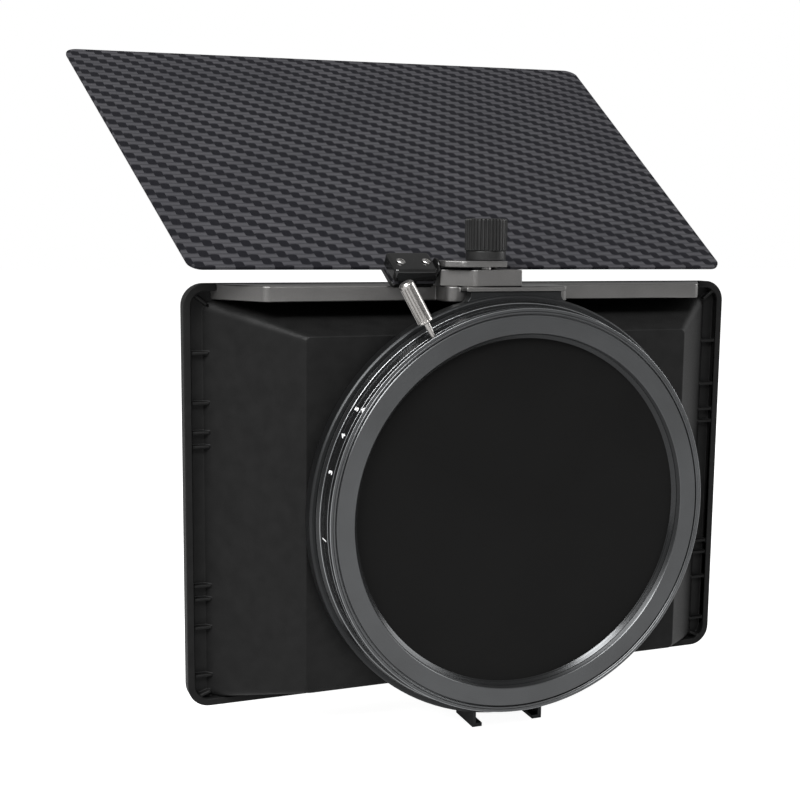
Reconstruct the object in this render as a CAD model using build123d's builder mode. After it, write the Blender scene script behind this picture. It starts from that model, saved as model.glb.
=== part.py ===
"""Clip-on rectangular lens hood with a variable-density filter, a top rail and a hinged top flag.

Millimetres. The origin is the centre of the lens seat, on the face that meets the lens.
+Y points away from the lens, towards the subject, +Z is up and +X is to the right as seen from the lens.
"""

import math
import os

from build123d import *

os.makedirs("parts", exist_ok=True)

# ---------------- driving dimensions
# Lens seat and filter rings. Radii are about the optical axis, depths are along +Y.
SEAT_BORE_R = 47.0            # 95 mm class seat, at the thread's inner radius
SEAT_CHAMFER = 0.3
SEAT_BORE_END_Y = 1.8
EDGE_BREAK = 0.15             # small chamfer on turned edges
SEAT_LIP_R = 46.1
SEAT_FACE_R = 51.7
SEAT_FLANGE_T = 0.6
HUB_R = 49.6
HUB_STEP = 0.4                # the hub steps in where it enters the polariser cell
GLASS_R = 47.65
GLASS_POCKET_R = 47.7
GLASS_T = 1.1
REAR_GLASS_RING_T = 0.7
FRONT_GLASS_RING_T = 0.4
REAR_GLASS_Y = 2.6
GLASS_RING_R = 46.5
RING_OUTER_R = 54.0           # outside of the rotating control ring
CONTROL_LIP_R = 52.6
CONTROL_RING_Y = (0.7, 2.0)
RUNNING = 0.05                # radial clearance of every running fit
HOUSING_Y = (2.1, 6.8)
HOUSING_WEB_T = 1.0
HOUSING_BAND_R = 54.8
HOUSING_BAND_END_Y = 5.5
HOUSING_FRONT_R = 55.7
CELL_R = 52.4
CELL_Y = (3.2, 6.6)
CELL_LIP_Y = 4.8
CELL_LIP_R = 46.3
CELL_GAP = 0.3                # between the cell and the hub
FRONT_GLASS_Y = 5.1
COVER_THREAD_R = 53.4
COVER_THREAD_Y = 5.6
COVER_THREAD_T = 0.6
COVER_FLANGE_T = 0.3
COVER_RIM_STEP = 0.8
PIN_CIRCLE_R = 51.4
PIN_R = 0.6
PIN_SLOT_GAP = 0.3            # each side of a pin in its slot
PIN_START_Y = 1.0
PIN_END_Y = 4.6
DENSITY_TRAVEL = 60.0         # degrees from the darkest mark to the lightest
LEVER_ANGLE = 119.5           # degrees from +X towards +Z
LEVER_Y = 1.05
LEVER_NECK_END_R = 58.2
LEVER_END_R = 69.8
LEVER_HANDLE_R = 2.0
LEVER_SEAT_R = 52.8           # where the neck's stem ends inside the control ring
LEVER_TANG_R = 0.9
LEVER_TANG = 5.0              # how far the neck reaches into the handle
LEVER_FLUTES = 16
LEVER_FLUTE_R = 0.3
LEVER_END_BAND = 1.2
LEVER_END_CHAMFER = 0.5

# Carrier: the flange that holds the hood and turns on the filter's spigot.
SPIGOT_R = 51.0
SPIGOT_THREAD_R = 50.4
SPIGOT_BORE_R = 47.3
CARRIER_Y = (7.3, 11.7)
CARRIER_R = 57.0
RETAINER_R = 52.0
CARRIER_EDGES = (0.5, 0.3)    # chamfers of the rear and front edges
RETAINER_Y = (12.1, 13.1)
RETAINER_NOTCHES = 4
RETAINER_NOTCH = (1.6, 3.0)
WASHER_T = 0.3
WASHER_GAP = 0.05
TAB_HALF_WIDTH = 13.2
TAB_TOP_Z = 57.9
TAB_Y0 = 8.4
TAB_FLARE = ((13.2, 56.6), (14.6, 54.9), (17.8, 53.6))   # the concave foot of the tab
TAB_ROOT_Z = 52.6
SHOE_REAR_Y = 8.5
SHOE_ROOT_Z = -54.5           # under the carrier
SHOE_RAIL_TOP_Z = -57.2       # past the carrier
SHOE_INNER_HALF = 9.4
SHOE_LIP_HALF = 7.6
SHOE_WALL = 1.1
SHOE_BOTTOM_Z = -60.6
SHOE_FRONT_Y = 19.8

# Hood shell: a square funnel with a deep rim.
PLATE_Y = 14.0
PLATE_HALF_WIDTH = 56.0
PLATE_Z = (-47.2, 46.6)
MOUTH_HALF_WIDTH = 77.6
MOUTH_Z = (-53.8, 55.0)
RIM_HALF_WIDTH = 83.0
RIM_Z = (-55.5, 59.3)
RIM_CORNER_R = 6.0
RIM_REAR_Y = 34.8
RIM_FACE_Y = 37.0
RIM_FRONT_Y = 39.0
RIM_WALL = 2.0
SHELL_WALL = 1.8
PLATE_T = 2.0
PLATE_CORNER_R = 1.5
MOUTH_CORNER_R = 3.0
INNER_PLATE_EASE = 1.6        # how much wider the hollow is than an even wall would leave it
INNER_MOUTH_EASE = (1.9, 1.2)
APERTURE_R = 46.4
RIB_HEIGHTS = (41.0, 27.7, 19.8, 16.0, -22.0, -25.7, -33.6, -47.0)
RIB_T = 0.9
RIB_SETBACK = 0.5             # ribs start this far behind the rim's rear edge
RIB_OVERLAP = (1.0, 1.4)      # how far a rib runs into the rim and into the funnel
CORNER_RIBS = ((78.55, 55.25, 37, 4.8), (78.55, -52.25, -20, 4.0))   # X, Z, angle and length
BOSS_CIRCLE_R = 54.3
BOSS_ANGLE = 25.0
BOSS_R = 1.5
SCREW_R = 1.0                 # M2 screws hold the hood, the tab and the flag
HOOD_SCREW_DEPTH = 3.2        # into the carrier
HOOD_SCREW_HEAD = (1.7, 1.2)  # radius and height
HOOD_SCREW_SOCKET_R = 0.75

# Top rail.
RAIL_Z = (55.0, 59.1)
RAIL_REAR_Y = 21.0
RAIL_REAR_HALF = 64.5
RAIL_FRONT_HALF = 75.5
RAIL_CORNER_R = 2.5
TONGUE_HALF = 17.8
TONGUE_CORNER_R = 2.5
TONGUE_Y = 12.2
SKIN_HALF = 14.5
SKIN_Y = 8.0
RAIL_SCREW_R = 1.25
RAIL_SCREW_X = (-62.0, -30.0, 30.0, 62.0)
RAIL_SCREW_Z = 57.1
RAIL_SCREW_LENGTH = 8.0
RAIL_SCREW_HEAD = (2.1, 1.1)
RAIL_SCREW_SOCKET_R = 0.9
RAIL_GAP = 0.1                # between the rail's ends and the rim

# Flag clamp on the rail: block, jaw, stud and knob.
BLOCK_TOP_Z = 63.5
BLOCK_REAR_Y = 9.0
BLOCK_FRONT_Y = 20.6
BLOCK_LEFT_X = -18.7
BLOCK_RIGHT_X = 2.0
BLOCK_FACET = (-11.6, 16.1)   # X on the rear face and Y on the left face where the slanted facet ends
BLOCK_CORNER_R = 2.0
JAW_Z = (64.15, 65.8)
JAW_RIGHT_X = -2.6
JAW_FACET = (-14.8, 12.9)
JAW_FOOT = (1.2, 5.0)
BLOCK_SCREWS = ((-13.0, 14.6), (-0.6, 17.4))
BLOCK_SCREW_HEAD_R = 2.0
BLOCK_ROOF = 2.3              # metal left over the block screws
TAB_SCREWS = ((-8.0, 10.3), (8.0, 10.3))
TAB_SCREW_HEAD_R = 1.8
TAB_SCREW_LENGTH = 4.4
STUD_X, STUD_Y = -6.5, 14.3
STUD_R = 1.5
STUD_TOP_Z = 73.6
STUD_CHAMFER = 0.3
JAW_HOLE_GAP = 0.2
KNOB_R = 5.6
COLLAR_R = 5.3
COLLAR_TOP_Z = 68.4
KNOB_TOP_Z = 76.8
KNOB_FLUTES = 34
KNOB_FLUTE_R = 0.3
KNOB_CROWN = (0.3, 0.5)       # step in and height of the smooth top edge
KNOB_LIFT = 0.08              # above the jaw
INSERT_R = 3.2
INSERT_TOP_GAP = 0.6          # air over the stud's end

# Flag and its hinge. Distances s run forward from the hinge axis in the flag's own plane.
HINGE_Y, HINGE_Z = 18.0, 63.85
FLAG_TILT = 29.7              # degrees above level, as stored
SHAFT_R = 1.3
SHAFT_COLLAR_R = 2.6
SHAFT_COLLAR_T = 0.6
ARM_X = (-31.8, -19.5)
ARM_S = (-3.5, 6.0)
ARM_TOP = 1.3
ARM_CORNER_R = 1.2
ARM_REAR_FILLET = 0.9
FLAG_TOP = -2.16
FLAG_T = 1.0
BACKING_T = 1.4
BACKING_S = (-2.6, 7.5)
FLAG_TAB_S = (-3.0, 5.0)      # the flag's tab under the arm
FLAG_TAB_EASE = 0.4
FLAG_NEAR_S = 4.0
FLAG_LEFT_S, FLAG_RIGHT_S = 140.0, 148.0   # the far edge runs slightly out of square
FLAG_CENTRE_X = -5.0
FLAG_NEAR_WIDTH = 157.0
FLAG_FAR_WIDTH = 191.0
FLAG_CORNER_R = 4.0
FLAG_SCREW_X = (-29.0, -21.8)
FLAG_SCREW_S = 0.9
FLAG_SCREW_HEAD = (1.3, 0.5)
FLAG_SCREW_SLOT = (1.5, 0.35, 0.4)   # length, width and depth of the cross
SHAFT_END_GAP = 1.2           # between the shaft's end and the stud
SHAFT_BORE_EXTRA = 0.4

# ---------------- shared planes and profiles
tilt = math.radians(FLAG_TILT)
flag_plane = Plane(
    origin=(0, HINGE_Y, HINGE_Z), x_dir=(1, 0, 0), z_dir=(0, -math.sin(tilt), math.cos(tilt))
)


def across(y):
    """A sketch plane square to the optical axis at depth y: its own x and y are the frame's X and Z."""
    return Plane.XZ.offset(-y)


def polar(radius, angle):
    """X and Z of a point at this radius and angle about the optical axis."""
    return radius * math.cos(math.radians(angle)), radius * math.sin(math.radians(angle))


def boss_points():
    """The four hood screws, as X and Z."""
    angles = (BOSS_ANGLE, 180 - BOSS_ANGLE, 180 + BOSS_ANGLE, -BOSS_ANGLE)
    return [polar(BOSS_CIRCLE_R, a) for a in angles]


def rectangle_between(half_width, z_range):
    """Centre, width and height of an upright rectangle about X = 0."""
    low, high = z_range
    return (0, (low + high) / 2), 2 * half_width, high - low


# ================ lens mount: the rings fixed to the lens
# Seat ring: the face that meets the lens, the bore that centres it, and the pocket of the rear glass.
with BuildPart() as seat_ring:
    with BuildSketch(Plane.XY):
        with BuildLine():
            Polyline(
                (SEAT_BORE_R + SEAT_CHAMFER, 0),
                (SEAT_FACE_R, 0),
                (SEAT_FACE_R, SEAT_FLANGE_T),
                (HUB_R, SEAT_FLANGE_T),
                (HUB_R, HOUSING_Y[0] + HOUSING_WEB_T),
                (HUB_R - HUB_STEP, HOUSING_Y[0] + HOUSING_WEB_T),
                (HUB_R - HUB_STEP, CELL_LIP_Y - CELL_GAP),
                (GLASS_POCKET_R, CELL_LIP_Y - CELL_GAP),
                (GLASS_POCKET_R, REAR_GLASS_Y),
                (SEAT_LIP_R, REAR_GLASS_Y),
                (SEAT_LIP_R, REAR_GLASS_Y - 0.1),
                (SEAT_BORE_R, SEAT_BORE_END_Y),
                (SEAT_BORE_R, SEAT_CHAMFER),
                close=True,
            )
        make_face()
    revolve(axis=Axis.Y)
seat_ring.part.label = "seat_ring"
export_step(seat_ring.part, "parts/seat_ring.step")

# Rear polariser: a disc clamped in the seat ring.
with BuildPart() as rear_glass:
    with BuildSketch(across(REAR_GLASS_Y)):
        Circle(GLASS_R)
    extrude(amount=-GLASS_T)
rear_glass.part.label = "rear_glass"
export_step(rear_glass.part, "parts/rear_glass.step")

with BuildPart() as rear_glass_ring:
    with BuildSketch(across(REAR_GLASS_Y + GLASS_T)):
        Circle(GLASS_POCKET_R)
        Circle(GLASS_RING_R, mode=Mode.SUBTRACT)
    extrude(amount=-REAR_GLASS_RING_T)
rear_glass_ring.part.label = "rear_glass_ring"
export_step(rear_glass_ring.part, "parts/rear_glass_ring.step")

# Scale ring: the housing with the numbered band. Three arc slots in its web let the drive pins through.
pin_paths = [
    CenterArc((0, 0), PIN_CIRCLE_R, LEVER_ANGLE + 120 * third, DENSITY_TRAVEL) for third in range(3)
]
with BuildPart() as scale_ring:
    with BuildSketch(Plane.XY):
        with BuildLine():
            Polyline(
                (HUB_R, HOUSING_Y[0]),
                (RING_OUTER_R - EDGE_BREAK, HOUSING_Y[0]),
                (RING_OUTER_R, HOUSING_Y[0] + EDGE_BREAK),
                (HOUSING_BAND_R, HOUSING_BAND_END_Y),
                (HOUSING_FRONT_R, HOUSING_Y[1]),
                (COVER_THREAD_R, HOUSING_Y[1]),
                (COVER_THREAD_R, COVER_THREAD_Y),
                (CELL_R + RUNNING, COVER_THREAD_Y),
                (CELL_R + RUNNING, HOUSING_Y[0] + HOUSING_WEB_T),
                (HUB_R, HOUSING_Y[0] + HOUSING_WEB_T),
                close=True,
            )
        make_face()
    revolve(axis=Axis.Y)
    with BuildSketch(across(HOUSING_Y[0])):
        for path in pin_paths:
            SlotArc(path, 2 * (PIN_R + PIN_SLOT_GAP))
    extrude(amount=-HOUSING_WEB_T, mode=Mode.SUBTRACT)
scale_ring.part.label = "scale_ring"
export_step(scale_ring.part, "parts/scale_ring.step")

# Front cover: closes the housing and carries the spigot on which the hood turns.
with BuildPart() as front_cover:
    with BuildSketch(Plane.XY):
        with BuildLine():
            Polyline(
                (COVER_THREAD_R - COVER_THREAD_T, COVER_THREAD_Y + 0.1),
                (COVER_THREAD_R, COVER_THREAD_Y + 0.1),
                (COVER_THREAD_R, HOUSING_Y[1]),
                (HOUSING_FRONT_R - COVER_RIM_STEP, HOUSING_Y[1]),
                (HOUSING_FRONT_R - COVER_RIM_STEP, HOUSING_Y[1] + COVER_FLANGE_T),
                (SPIGOT_R, HOUSING_Y[1] + COVER_FLANGE_T),
                (SPIGOT_R, CARRIER_Y[1]),
                (SPIGOT_THREAD_R, CARRIER_Y[1]),
                (SPIGOT_THREAD_R, RETAINER_Y[1]),
                (SPIGOT_BORE_R, RETAINER_Y[1]),
                (SPIGOT_BORE_R, HOUSING_Y[1]),
                (COVER_THREAD_R - COVER_THREAD_T, HOUSING_Y[1]),
                close=True,
            )
        make_face()
    revolve(axis=Axis.Y)
front_cover.part.label = "front_cover"
export_step(front_cover.part, "parts/front_cover.step")

# Friction washer and its retaining ring hold the carrier on the spigot.
with BuildPart() as friction_washer:
    with BuildSketch(across(CARRIER_Y[1] + WASHER_GAP)):
        Circle(RETAINER_R)
        Circle(SPIGOT_THREAD_R + RUNNING, mode=Mode.SUBTRACT)
    extrude(amount=-WASHER_T)
friction_washer.part.label = "friction_washer"
export_step(friction_washer.part, "parts/friction_washer.step")

with BuildPart() as carrier_retainer:
    with BuildSketch(across(RETAINER_Y[0])):
        Circle(RETAINER_R)
        Circle(SPIGOT_THREAD_R, mode=Mode.SUBTRACT)
        with PolarLocations(RETAINER_R, RETAINER_NOTCHES, start_angle=45):
            Rectangle(*RETAINER_NOTCH, mode=Mode.SUBTRACT)      # spanner notches
    extrude(amount=RETAINER_Y[0] - RETAINER_Y[1])
carrier_retainer.part.label = "carrier_retainer"
export_step(carrier_retainer.part, "parts/carrier_retainer.step")

# ================ density control: what turns with the lever
lever_direction = Vector(
    math.cos(math.radians(LEVER_ANGLE)), 0, math.sin(math.radians(LEVER_ANGLE))
)


def lever_plane(radius):
    """A plane square to the lever, at this distance from the optical axis."""
    return Plane(
        origin=lever_direction * radius + Vector(0, LEVER_Y, 0), x_dir=(0, 1, 0), z_dir=lever_direction
    )


with BuildPart() as control_ring:
    with BuildSketch(Plane.XY):
        with BuildLine():
            Polyline(
                (HUB_R + RUNNING, CONTROL_RING_Y[0]),
                (CONTROL_LIP_R, CONTROL_RING_Y[0]),
                (CONTROL_LIP_R, EDGE_BREAK),
                (CONTROL_LIP_R + EDGE_BREAK, 0),
                (RING_OUTER_R - EDGE_BREAK, 0),
                (RING_OUTER_R, EDGE_BREAK),
                (RING_OUTER_R, CONTROL_RING_Y[1]),
                (HUB_R + RUNNING, CONTROL_RING_Y[1]),
                close=True,
            )
        make_face()
    revolve(axis=Axis.Y)
    with BuildSketch(lever_plane(LEVER_SEAT_R)):
        Circle(PIN_R)
    extrude(amount=RING_OUTER_R + 1 - LEVER_SEAT_R, mode=Mode.SUBTRACT)
    with BuildSketch(across(PIN_START_Y)):
        with PolarLocations(PIN_CIRCLE_R, 3, start_angle=LEVER_ANGLE):
            Circle(PIN_R)
    extrude(amount=PIN_START_Y - CONTROL_RING_Y[1], mode=Mode.SUBTRACT)
control_ring.part.label = "control_ring"
export_step(control_ring.part, "parts/control_ring.step")

with BuildPart() as drive_pins:
    with BuildSketch(across(PIN_START_Y)):
        with PolarLocations(PIN_CIRCLE_R, 3, start_angle=LEVER_ANGLE):
            Circle(PIN_R)
    extrude(amount=PIN_START_Y - PIN_END_Y)
drive_pins.part.label = "drive_pins"
export_step(drive_pins.part, "parts/drive_pins.step")

# Polariser cell: the ring inside the housing that the pins drive, with the front glass in its pocket.
with BuildPart() as polariser_cell:
    with BuildSketch(Plane.XY):
        with BuildLine():
            Polyline(
                (HUB_R + CELL_GAP, CELL_Y[0]),
                (CELL_R, CELL_Y[0]),
                (CELL_R, CELL_Y[1]),
                (GLASS_POCKET_R, CELL_Y[1]),
                (GLASS_POCKET_R, FRONT_GLASS_Y),
                (CELL_LIP_R, FRONT_GLASS_Y),
                (CELL_LIP_R, CELL_LIP_Y),
                (HUB_R + CELL_GAP, CELL_LIP_Y),
                close=True,
            )
        make_face()
    revolve(axis=Axis.Y)
    with BuildSketch(across(CELL_Y[0])):
        with PolarLocations(PIN_CIRCLE_R, 3, start_angle=LEVER_ANGLE):
            Circle(PIN_R)
    extrude(amount=CELL_Y[0] - PIN_END_Y, mode=Mode.SUBTRACT)
polariser_cell.part.label = "polariser_cell"
export_step(polariser_cell.part, "parts/polariser_cell.step")

with BuildPart() as front_glass:
    with BuildSketch(across(FRONT_GLASS_Y)):
        Circle(GLASS_R)
    extrude(amount=-GLASS_T)
front_glass.part.label = "front_glass"
export_step(front_glass.part, "parts/front_glass.step")

with BuildPart() as front_glass_ring:
    with BuildSketch(across(FRONT_GLASS_Y + GLASS_T)):
        Circle(GLASS_POCKET_R)
        Circle(GLASS_RING_R, mode=Mode.SUBTRACT)
    extrude(amount=-FRONT_GLASS_RING_T)
front_glass_ring.part.label = "front_glass_ring"
export_step(front_glass_ring.part, "parts/front_glass_ring.step")

# Lever: a tapered neck screwed into the control ring, with a fluted handle on it.
with BuildPart() as lever_neck:
    with BuildSketch(lever_plane(LEVER_SEAT_R)):
        Circle(PIN_R)
    extrude(amount=RING_OUTER_R - LEVER_SEAT_R)
    with BuildSketch(lever_plane(RING_OUTER_R)):
        Circle(PIN_R)
    with BuildSketch(lever_plane(LEVER_NECK_END_R)):
        Circle(LEVER_TANG_R)
    loft()
    with BuildSketch(lever_plane(LEVER_NECK_END_R)):
        Circle(LEVER_TANG_R)
    extrude(amount=LEVER_TANG)
lever_neck.part.label = "lever_neck"
export_step(lever_neck.part, "parts/lever_neck.step")

with BuildPart() as lever_handle:
    with BuildSketch(lever_plane(LEVER_NECK_END_R)):
        Circle(LEVER_HANDLE_R)
        with PolarLocations(LEVER_HANDLE_R + LEVER_FLUTE_R / 2, LEVER_FLUTES):
            Circle(LEVER_FLUTE_R, mode=Mode.SUBTRACT)
    extrude(amount=LEVER_END_R - LEVER_END_BAND - LEVER_NECK_END_R)
    with BuildSketch(lever_plane(LEVER_END_R - LEVER_END_BAND)):
        Circle(LEVER_HANDLE_R)
    extrude(amount=LEVER_END_BAND)
    handle_end = lever_handle.faces().sort_by(Axis((0, 0, 0), lever_direction))[-1]
    chamfer(handle_end.edges(), LEVER_END_CHAMFER)
    with BuildSketch(lever_plane(LEVER_NECK_END_R)):
        Circle(LEVER_TANG_R)
    extrude(amount=LEVER_TANG, mode=Mode.SUBTRACT)
lever_handle.part.label = "lever_handle"
export_step(lever_handle.part, "parts/lever_handle.step")

# ================ hood: carrier, shell, rail and flag clamp
# Carrier: the flange ring with the top tab and, below, two rails that take an accessory foot.
with BuildPart() as carrier:
    with BuildSketch(Plane.XY):
        with BuildLine():
            Polyline(
                (SPIGOT_R + RUNNING, CARRIER_Y[0]),
                (CARRIER_R - CARRIER_EDGES[0], CARRIER_Y[0]),
                (CARRIER_R, CARRIER_Y[0] + CARRIER_EDGES[0]),
                (CARRIER_R, CARRIER_Y[1] - CARRIER_EDGES[1]),
                (CARRIER_R - CARRIER_EDGES[1], CARRIER_Y[1]),
                (SPIGOT_R + RUNNING, CARRIER_Y[1]),
                close=True,
            )
        make_face()
    revolve(axis=Axis.Y)
    with BuildSketch(across(TAB_Y0)):
        with BuildLine():
            Polyline(TAB_FLARE[0], (TAB_HALF_WIDTH, TAB_TOP_Z), (0, TAB_TOP_Z))
            ThreePointArc(*TAB_FLARE)
            Polyline(TAB_FLARE[2], (TAB_FLARE[2][0], TAB_ROOT_Z), (0, TAB_ROOT_Z))
            mirror(about=Plane.YZ)
        make_face()
    extrude(amount=TAB_Y0 - CARRIER_Y[1])
    for rear_y, front_y, top_z in (
        (SHOE_REAR_Y, CARRIER_Y[1], SHOE_ROOT_Z),
        (CARRIER_Y[1], SHOE_FRONT_Y, SHOE_RAIL_TOP_Z),
    ):
        with BuildSketch(across(rear_y)):
            with BuildLine():
                Polyline(
                    (SHOE_INNER_HALF, top_z),
                    (SHOE_INNER_HALF, SHOE_BOTTOM_Z + SHOE_WALL),
                    (SHOE_LIP_HALF, SHOE_BOTTOM_Z + SHOE_WALL),
                    (SHOE_LIP_HALF, SHOE_BOTTOM_Z),
                    (SHOE_INNER_HALF + SHOE_WALL, SHOE_BOTTOM_Z),
                    (SHOE_INNER_HALF + SHOE_WALL, top_z),
                    close=True,
                )
            make_face()
            mirror(about=Plane.YZ)
        extrude(amount=rear_y - front_y)
    with BuildSketch(across(CARRIER_Y[1])):
        with Locations(*boss_points()):
            Circle(SCREW_R)
    extrude(amount=HOOD_SCREW_DEPTH + 0.3, mode=Mode.SUBTRACT)
    with BuildSketch(Plane.XY.offset(TAB_TOP_Z)):
        with Locations(*TAB_SCREWS):
            Circle(SCREW_R)
    extrude(amount=-TAB_SCREW_LENGTH, mode=Mode.SUBTRACT)
carrier.part.label = "carrier"
export_step(carrier.part, "parts/carrier.step")

# Hood shell: rear plate, flared walls and the deep rim, with ribs in the rim's rear channel.
with BuildPart() as hood_shell:
    plate_at, plate_w, plate_h = rectangle_between(PLATE_HALF_WIDTH, PLATE_Z)
    mouth_at, mouth_w, mouth_h = rectangle_between(MOUTH_HALF_WIDTH, MOUTH_Z)
    rim_at, rim_w, rim_h = rectangle_between(RIM_HALF_WIDTH, RIM_Z)
    with BuildSketch(across(PLATE_Y)):
        with Locations(plate_at):
            RectangleRounded(plate_w, plate_h, PLATE_CORNER_R)
    with BuildSketch(across(RIM_FACE_Y)):
        with Locations(mouth_at):
            RectangleRounded(mouth_w, mouth_h, MOUTH_CORNER_R)
    loft()
    with BuildSketch(across(RIM_FACE_Y)):
        with Locations(rim_at):
            RectangleRounded(rim_w, rim_h, RIM_CORNER_R)
    extrude(amount=RIM_FACE_Y - RIM_FRONT_Y)
    with BuildSketch(across(RIM_REAR_Y)):
        with Locations(rim_at):
            RectangleRounded(rim_w, rim_h, RIM_CORNER_R)
            RectangleRounded(
                rim_w - 2 * RIM_WALL, rim_h - 2 * RIM_WALL, RIM_CORNER_R - RIM_WALL, mode=Mode.SUBTRACT
            )
    extrude(amount=RIM_REAR_Y - RIM_FACE_Y)
    # stiffening ribs across the channel, on both sides, and a diagonal one in each corner
    rib_ends = (MOUTH_HALF_WIDTH - RIB_OVERLAP[1], RIM_HALF_WIDTH - RIB_OVERLAP[0])
    rib_x = sum(rib_ends) / 2
    with BuildSketch(across(RIM_REAR_Y + RIB_SETBACK)):
        with Locations(*[(side * rib_x, z) for side in (-1, 1) for z in RIB_HEIGHTS]):
            Rectangle(rib_ends[1] - rib_ends[0], RIB_T)
        for side in (-1, 1):
            for x, z, angle, length in CORNER_RIBS:
                with Locations(Location((side * x, z), side * angle)):
                    Rectangle(length, RIB_T)
    extrude(amount=RIM_REAR_Y + RIB_SETBACK - RIM_FACE_Y)
    # hollow inside
    with BuildSketch(across(PLATE_Y + PLATE_T)):
        with Locations(plate_at):
            RectangleRounded(
                plate_w - 2 * SHELL_WALL + INNER_PLATE_EASE, plate_h - 2 * SHELL_WALL, PLATE_CORNER_R
            )
    with BuildSketch(across(RIM_FRONT_Y)):
        with Locations(mouth_at):
            RectangleRounded(
                mouth_w - 2 * SHELL_WALL + INNER_MOUTH_EASE[0],
                mouth_h - 2 * SHELL_WALL + INNER_MOUTH_EASE[1],
                MOUTH_CORNER_R,
            )
    loft(mode=Mode.SUBTRACT)
    # round aperture, cut off flat where it reaches the upper and lower walls
    with BuildSketch(across(PLATE_Y - 1)):
        Circle(APERTURE_R)
        with Locations(plate_at):
            Rectangle(plate_w, plate_h - 2 * SHELL_WALL, mode=Mode.INTERSECT)
    extrude(amount=-(PLATE_T + 2), mode=Mode.SUBTRACT)
    # seats and holes of the screws to the carrier
    with BuildSketch(across(CARRIER_Y[1])):
        with Locations(*boss_points()):
            Circle(BOSS_R)
    extrude(amount=CARRIER_Y[1] - PLATE_Y)
    with BuildSketch(across(CARRIER_Y[1])):
        with Locations(*boss_points()):
            Circle(SCREW_R)
    extrude(amount=CARRIER_Y[1] - PLATE_Y - PLATE_T - 1, mode=Mode.SUBTRACT)
    # the rail lies in a gap of the rim's upper wall
    with BuildSketch(Plane.XY.offset(RAIL_Z[0])):
        with BuildLine():
            Polyline(
                (-RAIL_FRONT_HALF - RAIL_GAP, RIM_FACE_Y),
                (-RAIL_FRONT_HALF + 2, RIM_REAR_Y - 1),
                (RAIL_FRONT_HALF - 2, RIM_REAR_Y - 1),
                (RAIL_FRONT_HALF + RAIL_GAP, RIM_FACE_Y),
                close=True,
            )
        make_face()
    extrude(amount=RIM_Z[1] + 2 - RAIL_Z[0], mode=Mode.SUBTRACT)
    with BuildSketch(across(RIM_FACE_Y)):
        with Locations(*[(x, RAIL_SCREW_Z) for x in RAIL_SCREW_X]):
            Circle(RAIL_SCREW_R)
    extrude(amount=RIM_FACE_Y - RIM_FRONT_Y - 1, mode=Mode.SUBTRACT)
hood_shell.part.label = "hood_shell"
export_step(hood_shell.part, "parts/hood_shell.step")

# Screws from inside the hood into the carrier: flat heads on the plate.
with BuildPart() as hood_screws:
    with BuildSketch(across(CARRIER_Y[1] - HOOD_SCREW_DEPTH)):
        with Locations(*boss_points()):
            Circle(SCREW_R)
    extrude(amount=CARRIER_Y[1] - HOOD_SCREW_DEPTH - PLATE_Y - PLATE_T)
    with BuildSketch(across(PLATE_Y + PLATE_T)):
        with Locations(*boss_points()):
            Circle(HOOD_SCREW_HEAD[0])
            RegularPolygon(HOOD_SCREW_SOCKET_R, 6, mode=Mode.SUBTRACT)
    extrude(amount=-HOOD_SCREW_HEAD[1])
hood_screws.part.label = "hood_screws"
export_step(hood_screws.part, "parts/hood_screws.step")

# Top rail: a flat bar with slanted ends, and a tongue in the middle that lies on the carrier's tab.
with BuildPart() as top_rail:
    with BuildSketch(Plane.XY.offset(RAIL_Z[0])) as top_rail_outline:
        with BuildLine():
            Polyline(
                (-RAIL_FRONT_HALF, RIM_FACE_Y),
                (-RAIL_REAR_HALF, RAIL_REAR_Y),
                (-TONGUE_HALF, RAIL_REAR_Y),
                (-TONGUE_HALF, TONGUE_Y),
                (TONGUE_HALF, TONGUE_Y),
                (TONGUE_HALF, RAIL_REAR_Y),
                (RAIL_REAR_HALF, RAIL_REAR_Y),
                (RAIL_FRONT_HALF, RIM_FACE_Y),
                close=True,
            )
        make_face()
        rear_corners = top_rail_outline.vertices().filter_by_position(
            Axis.Y, RAIL_REAR_Y - 0.1, RAIL_REAR_Y + 0.1
        ).sort_by(Axis.X)
        fillet([rear_corners[0], rear_corners[-1]], RAIL_CORNER_R)
        tongue_corners = top_rail_outline.vertices().filter_by_position(
            Axis.Y, TONGUE_Y - 0.1, TONGUE_Y + 0.1
        )
        fillet(tongue_corners, TONGUE_CORNER_R)
    extrude(amount=RAIL_Z[1] - RAIL_Z[0])
    with BuildSketch(Plane.XY.offset(TAB_TOP_Z)):
        with Locations((0, (SKIN_Y + TONGUE_Y + 1) / 2)):
            Rectangle(2 * SKIN_HALF, TONGUE_Y + 1 - SKIN_Y)
    extrude(amount=RAIL_Z[1] - TAB_TOP_Z)
    with BuildSketch(across(RIM_FACE_Y)):
        with Locations(*[(x, RAIL_SCREW_Z) for x in RAIL_SCREW_X]):
            Circle(RAIL_SCREW_R)
    extrude(amount=RAIL_SCREW_LENGTH - RIM_FRONT_Y + RIM_FACE_Y + 1, mode=Mode.SUBTRACT)
    with Locations(*[(x, y, RAIL_Z[1]) for x, y in TAB_SCREWS]):
        CounterSinkHole(SCREW_R, TAB_SCREW_HEAD_R, depth=RAIL_Z[1] - TAB_TOP_Z + 1)
    with Locations(*[Location((x, y, RAIL_Z[0]), (180, 0, 0)) for x, y in BLOCK_SCREWS]):
        CounterSinkHole(SCREW_R, BLOCK_SCREW_HEAD_R, depth=RAIL_Z[1] - RAIL_Z[0])
top_rail.part.label = "top_rail"
export_step(top_rail.part, "parts/top_rail.step")

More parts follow.
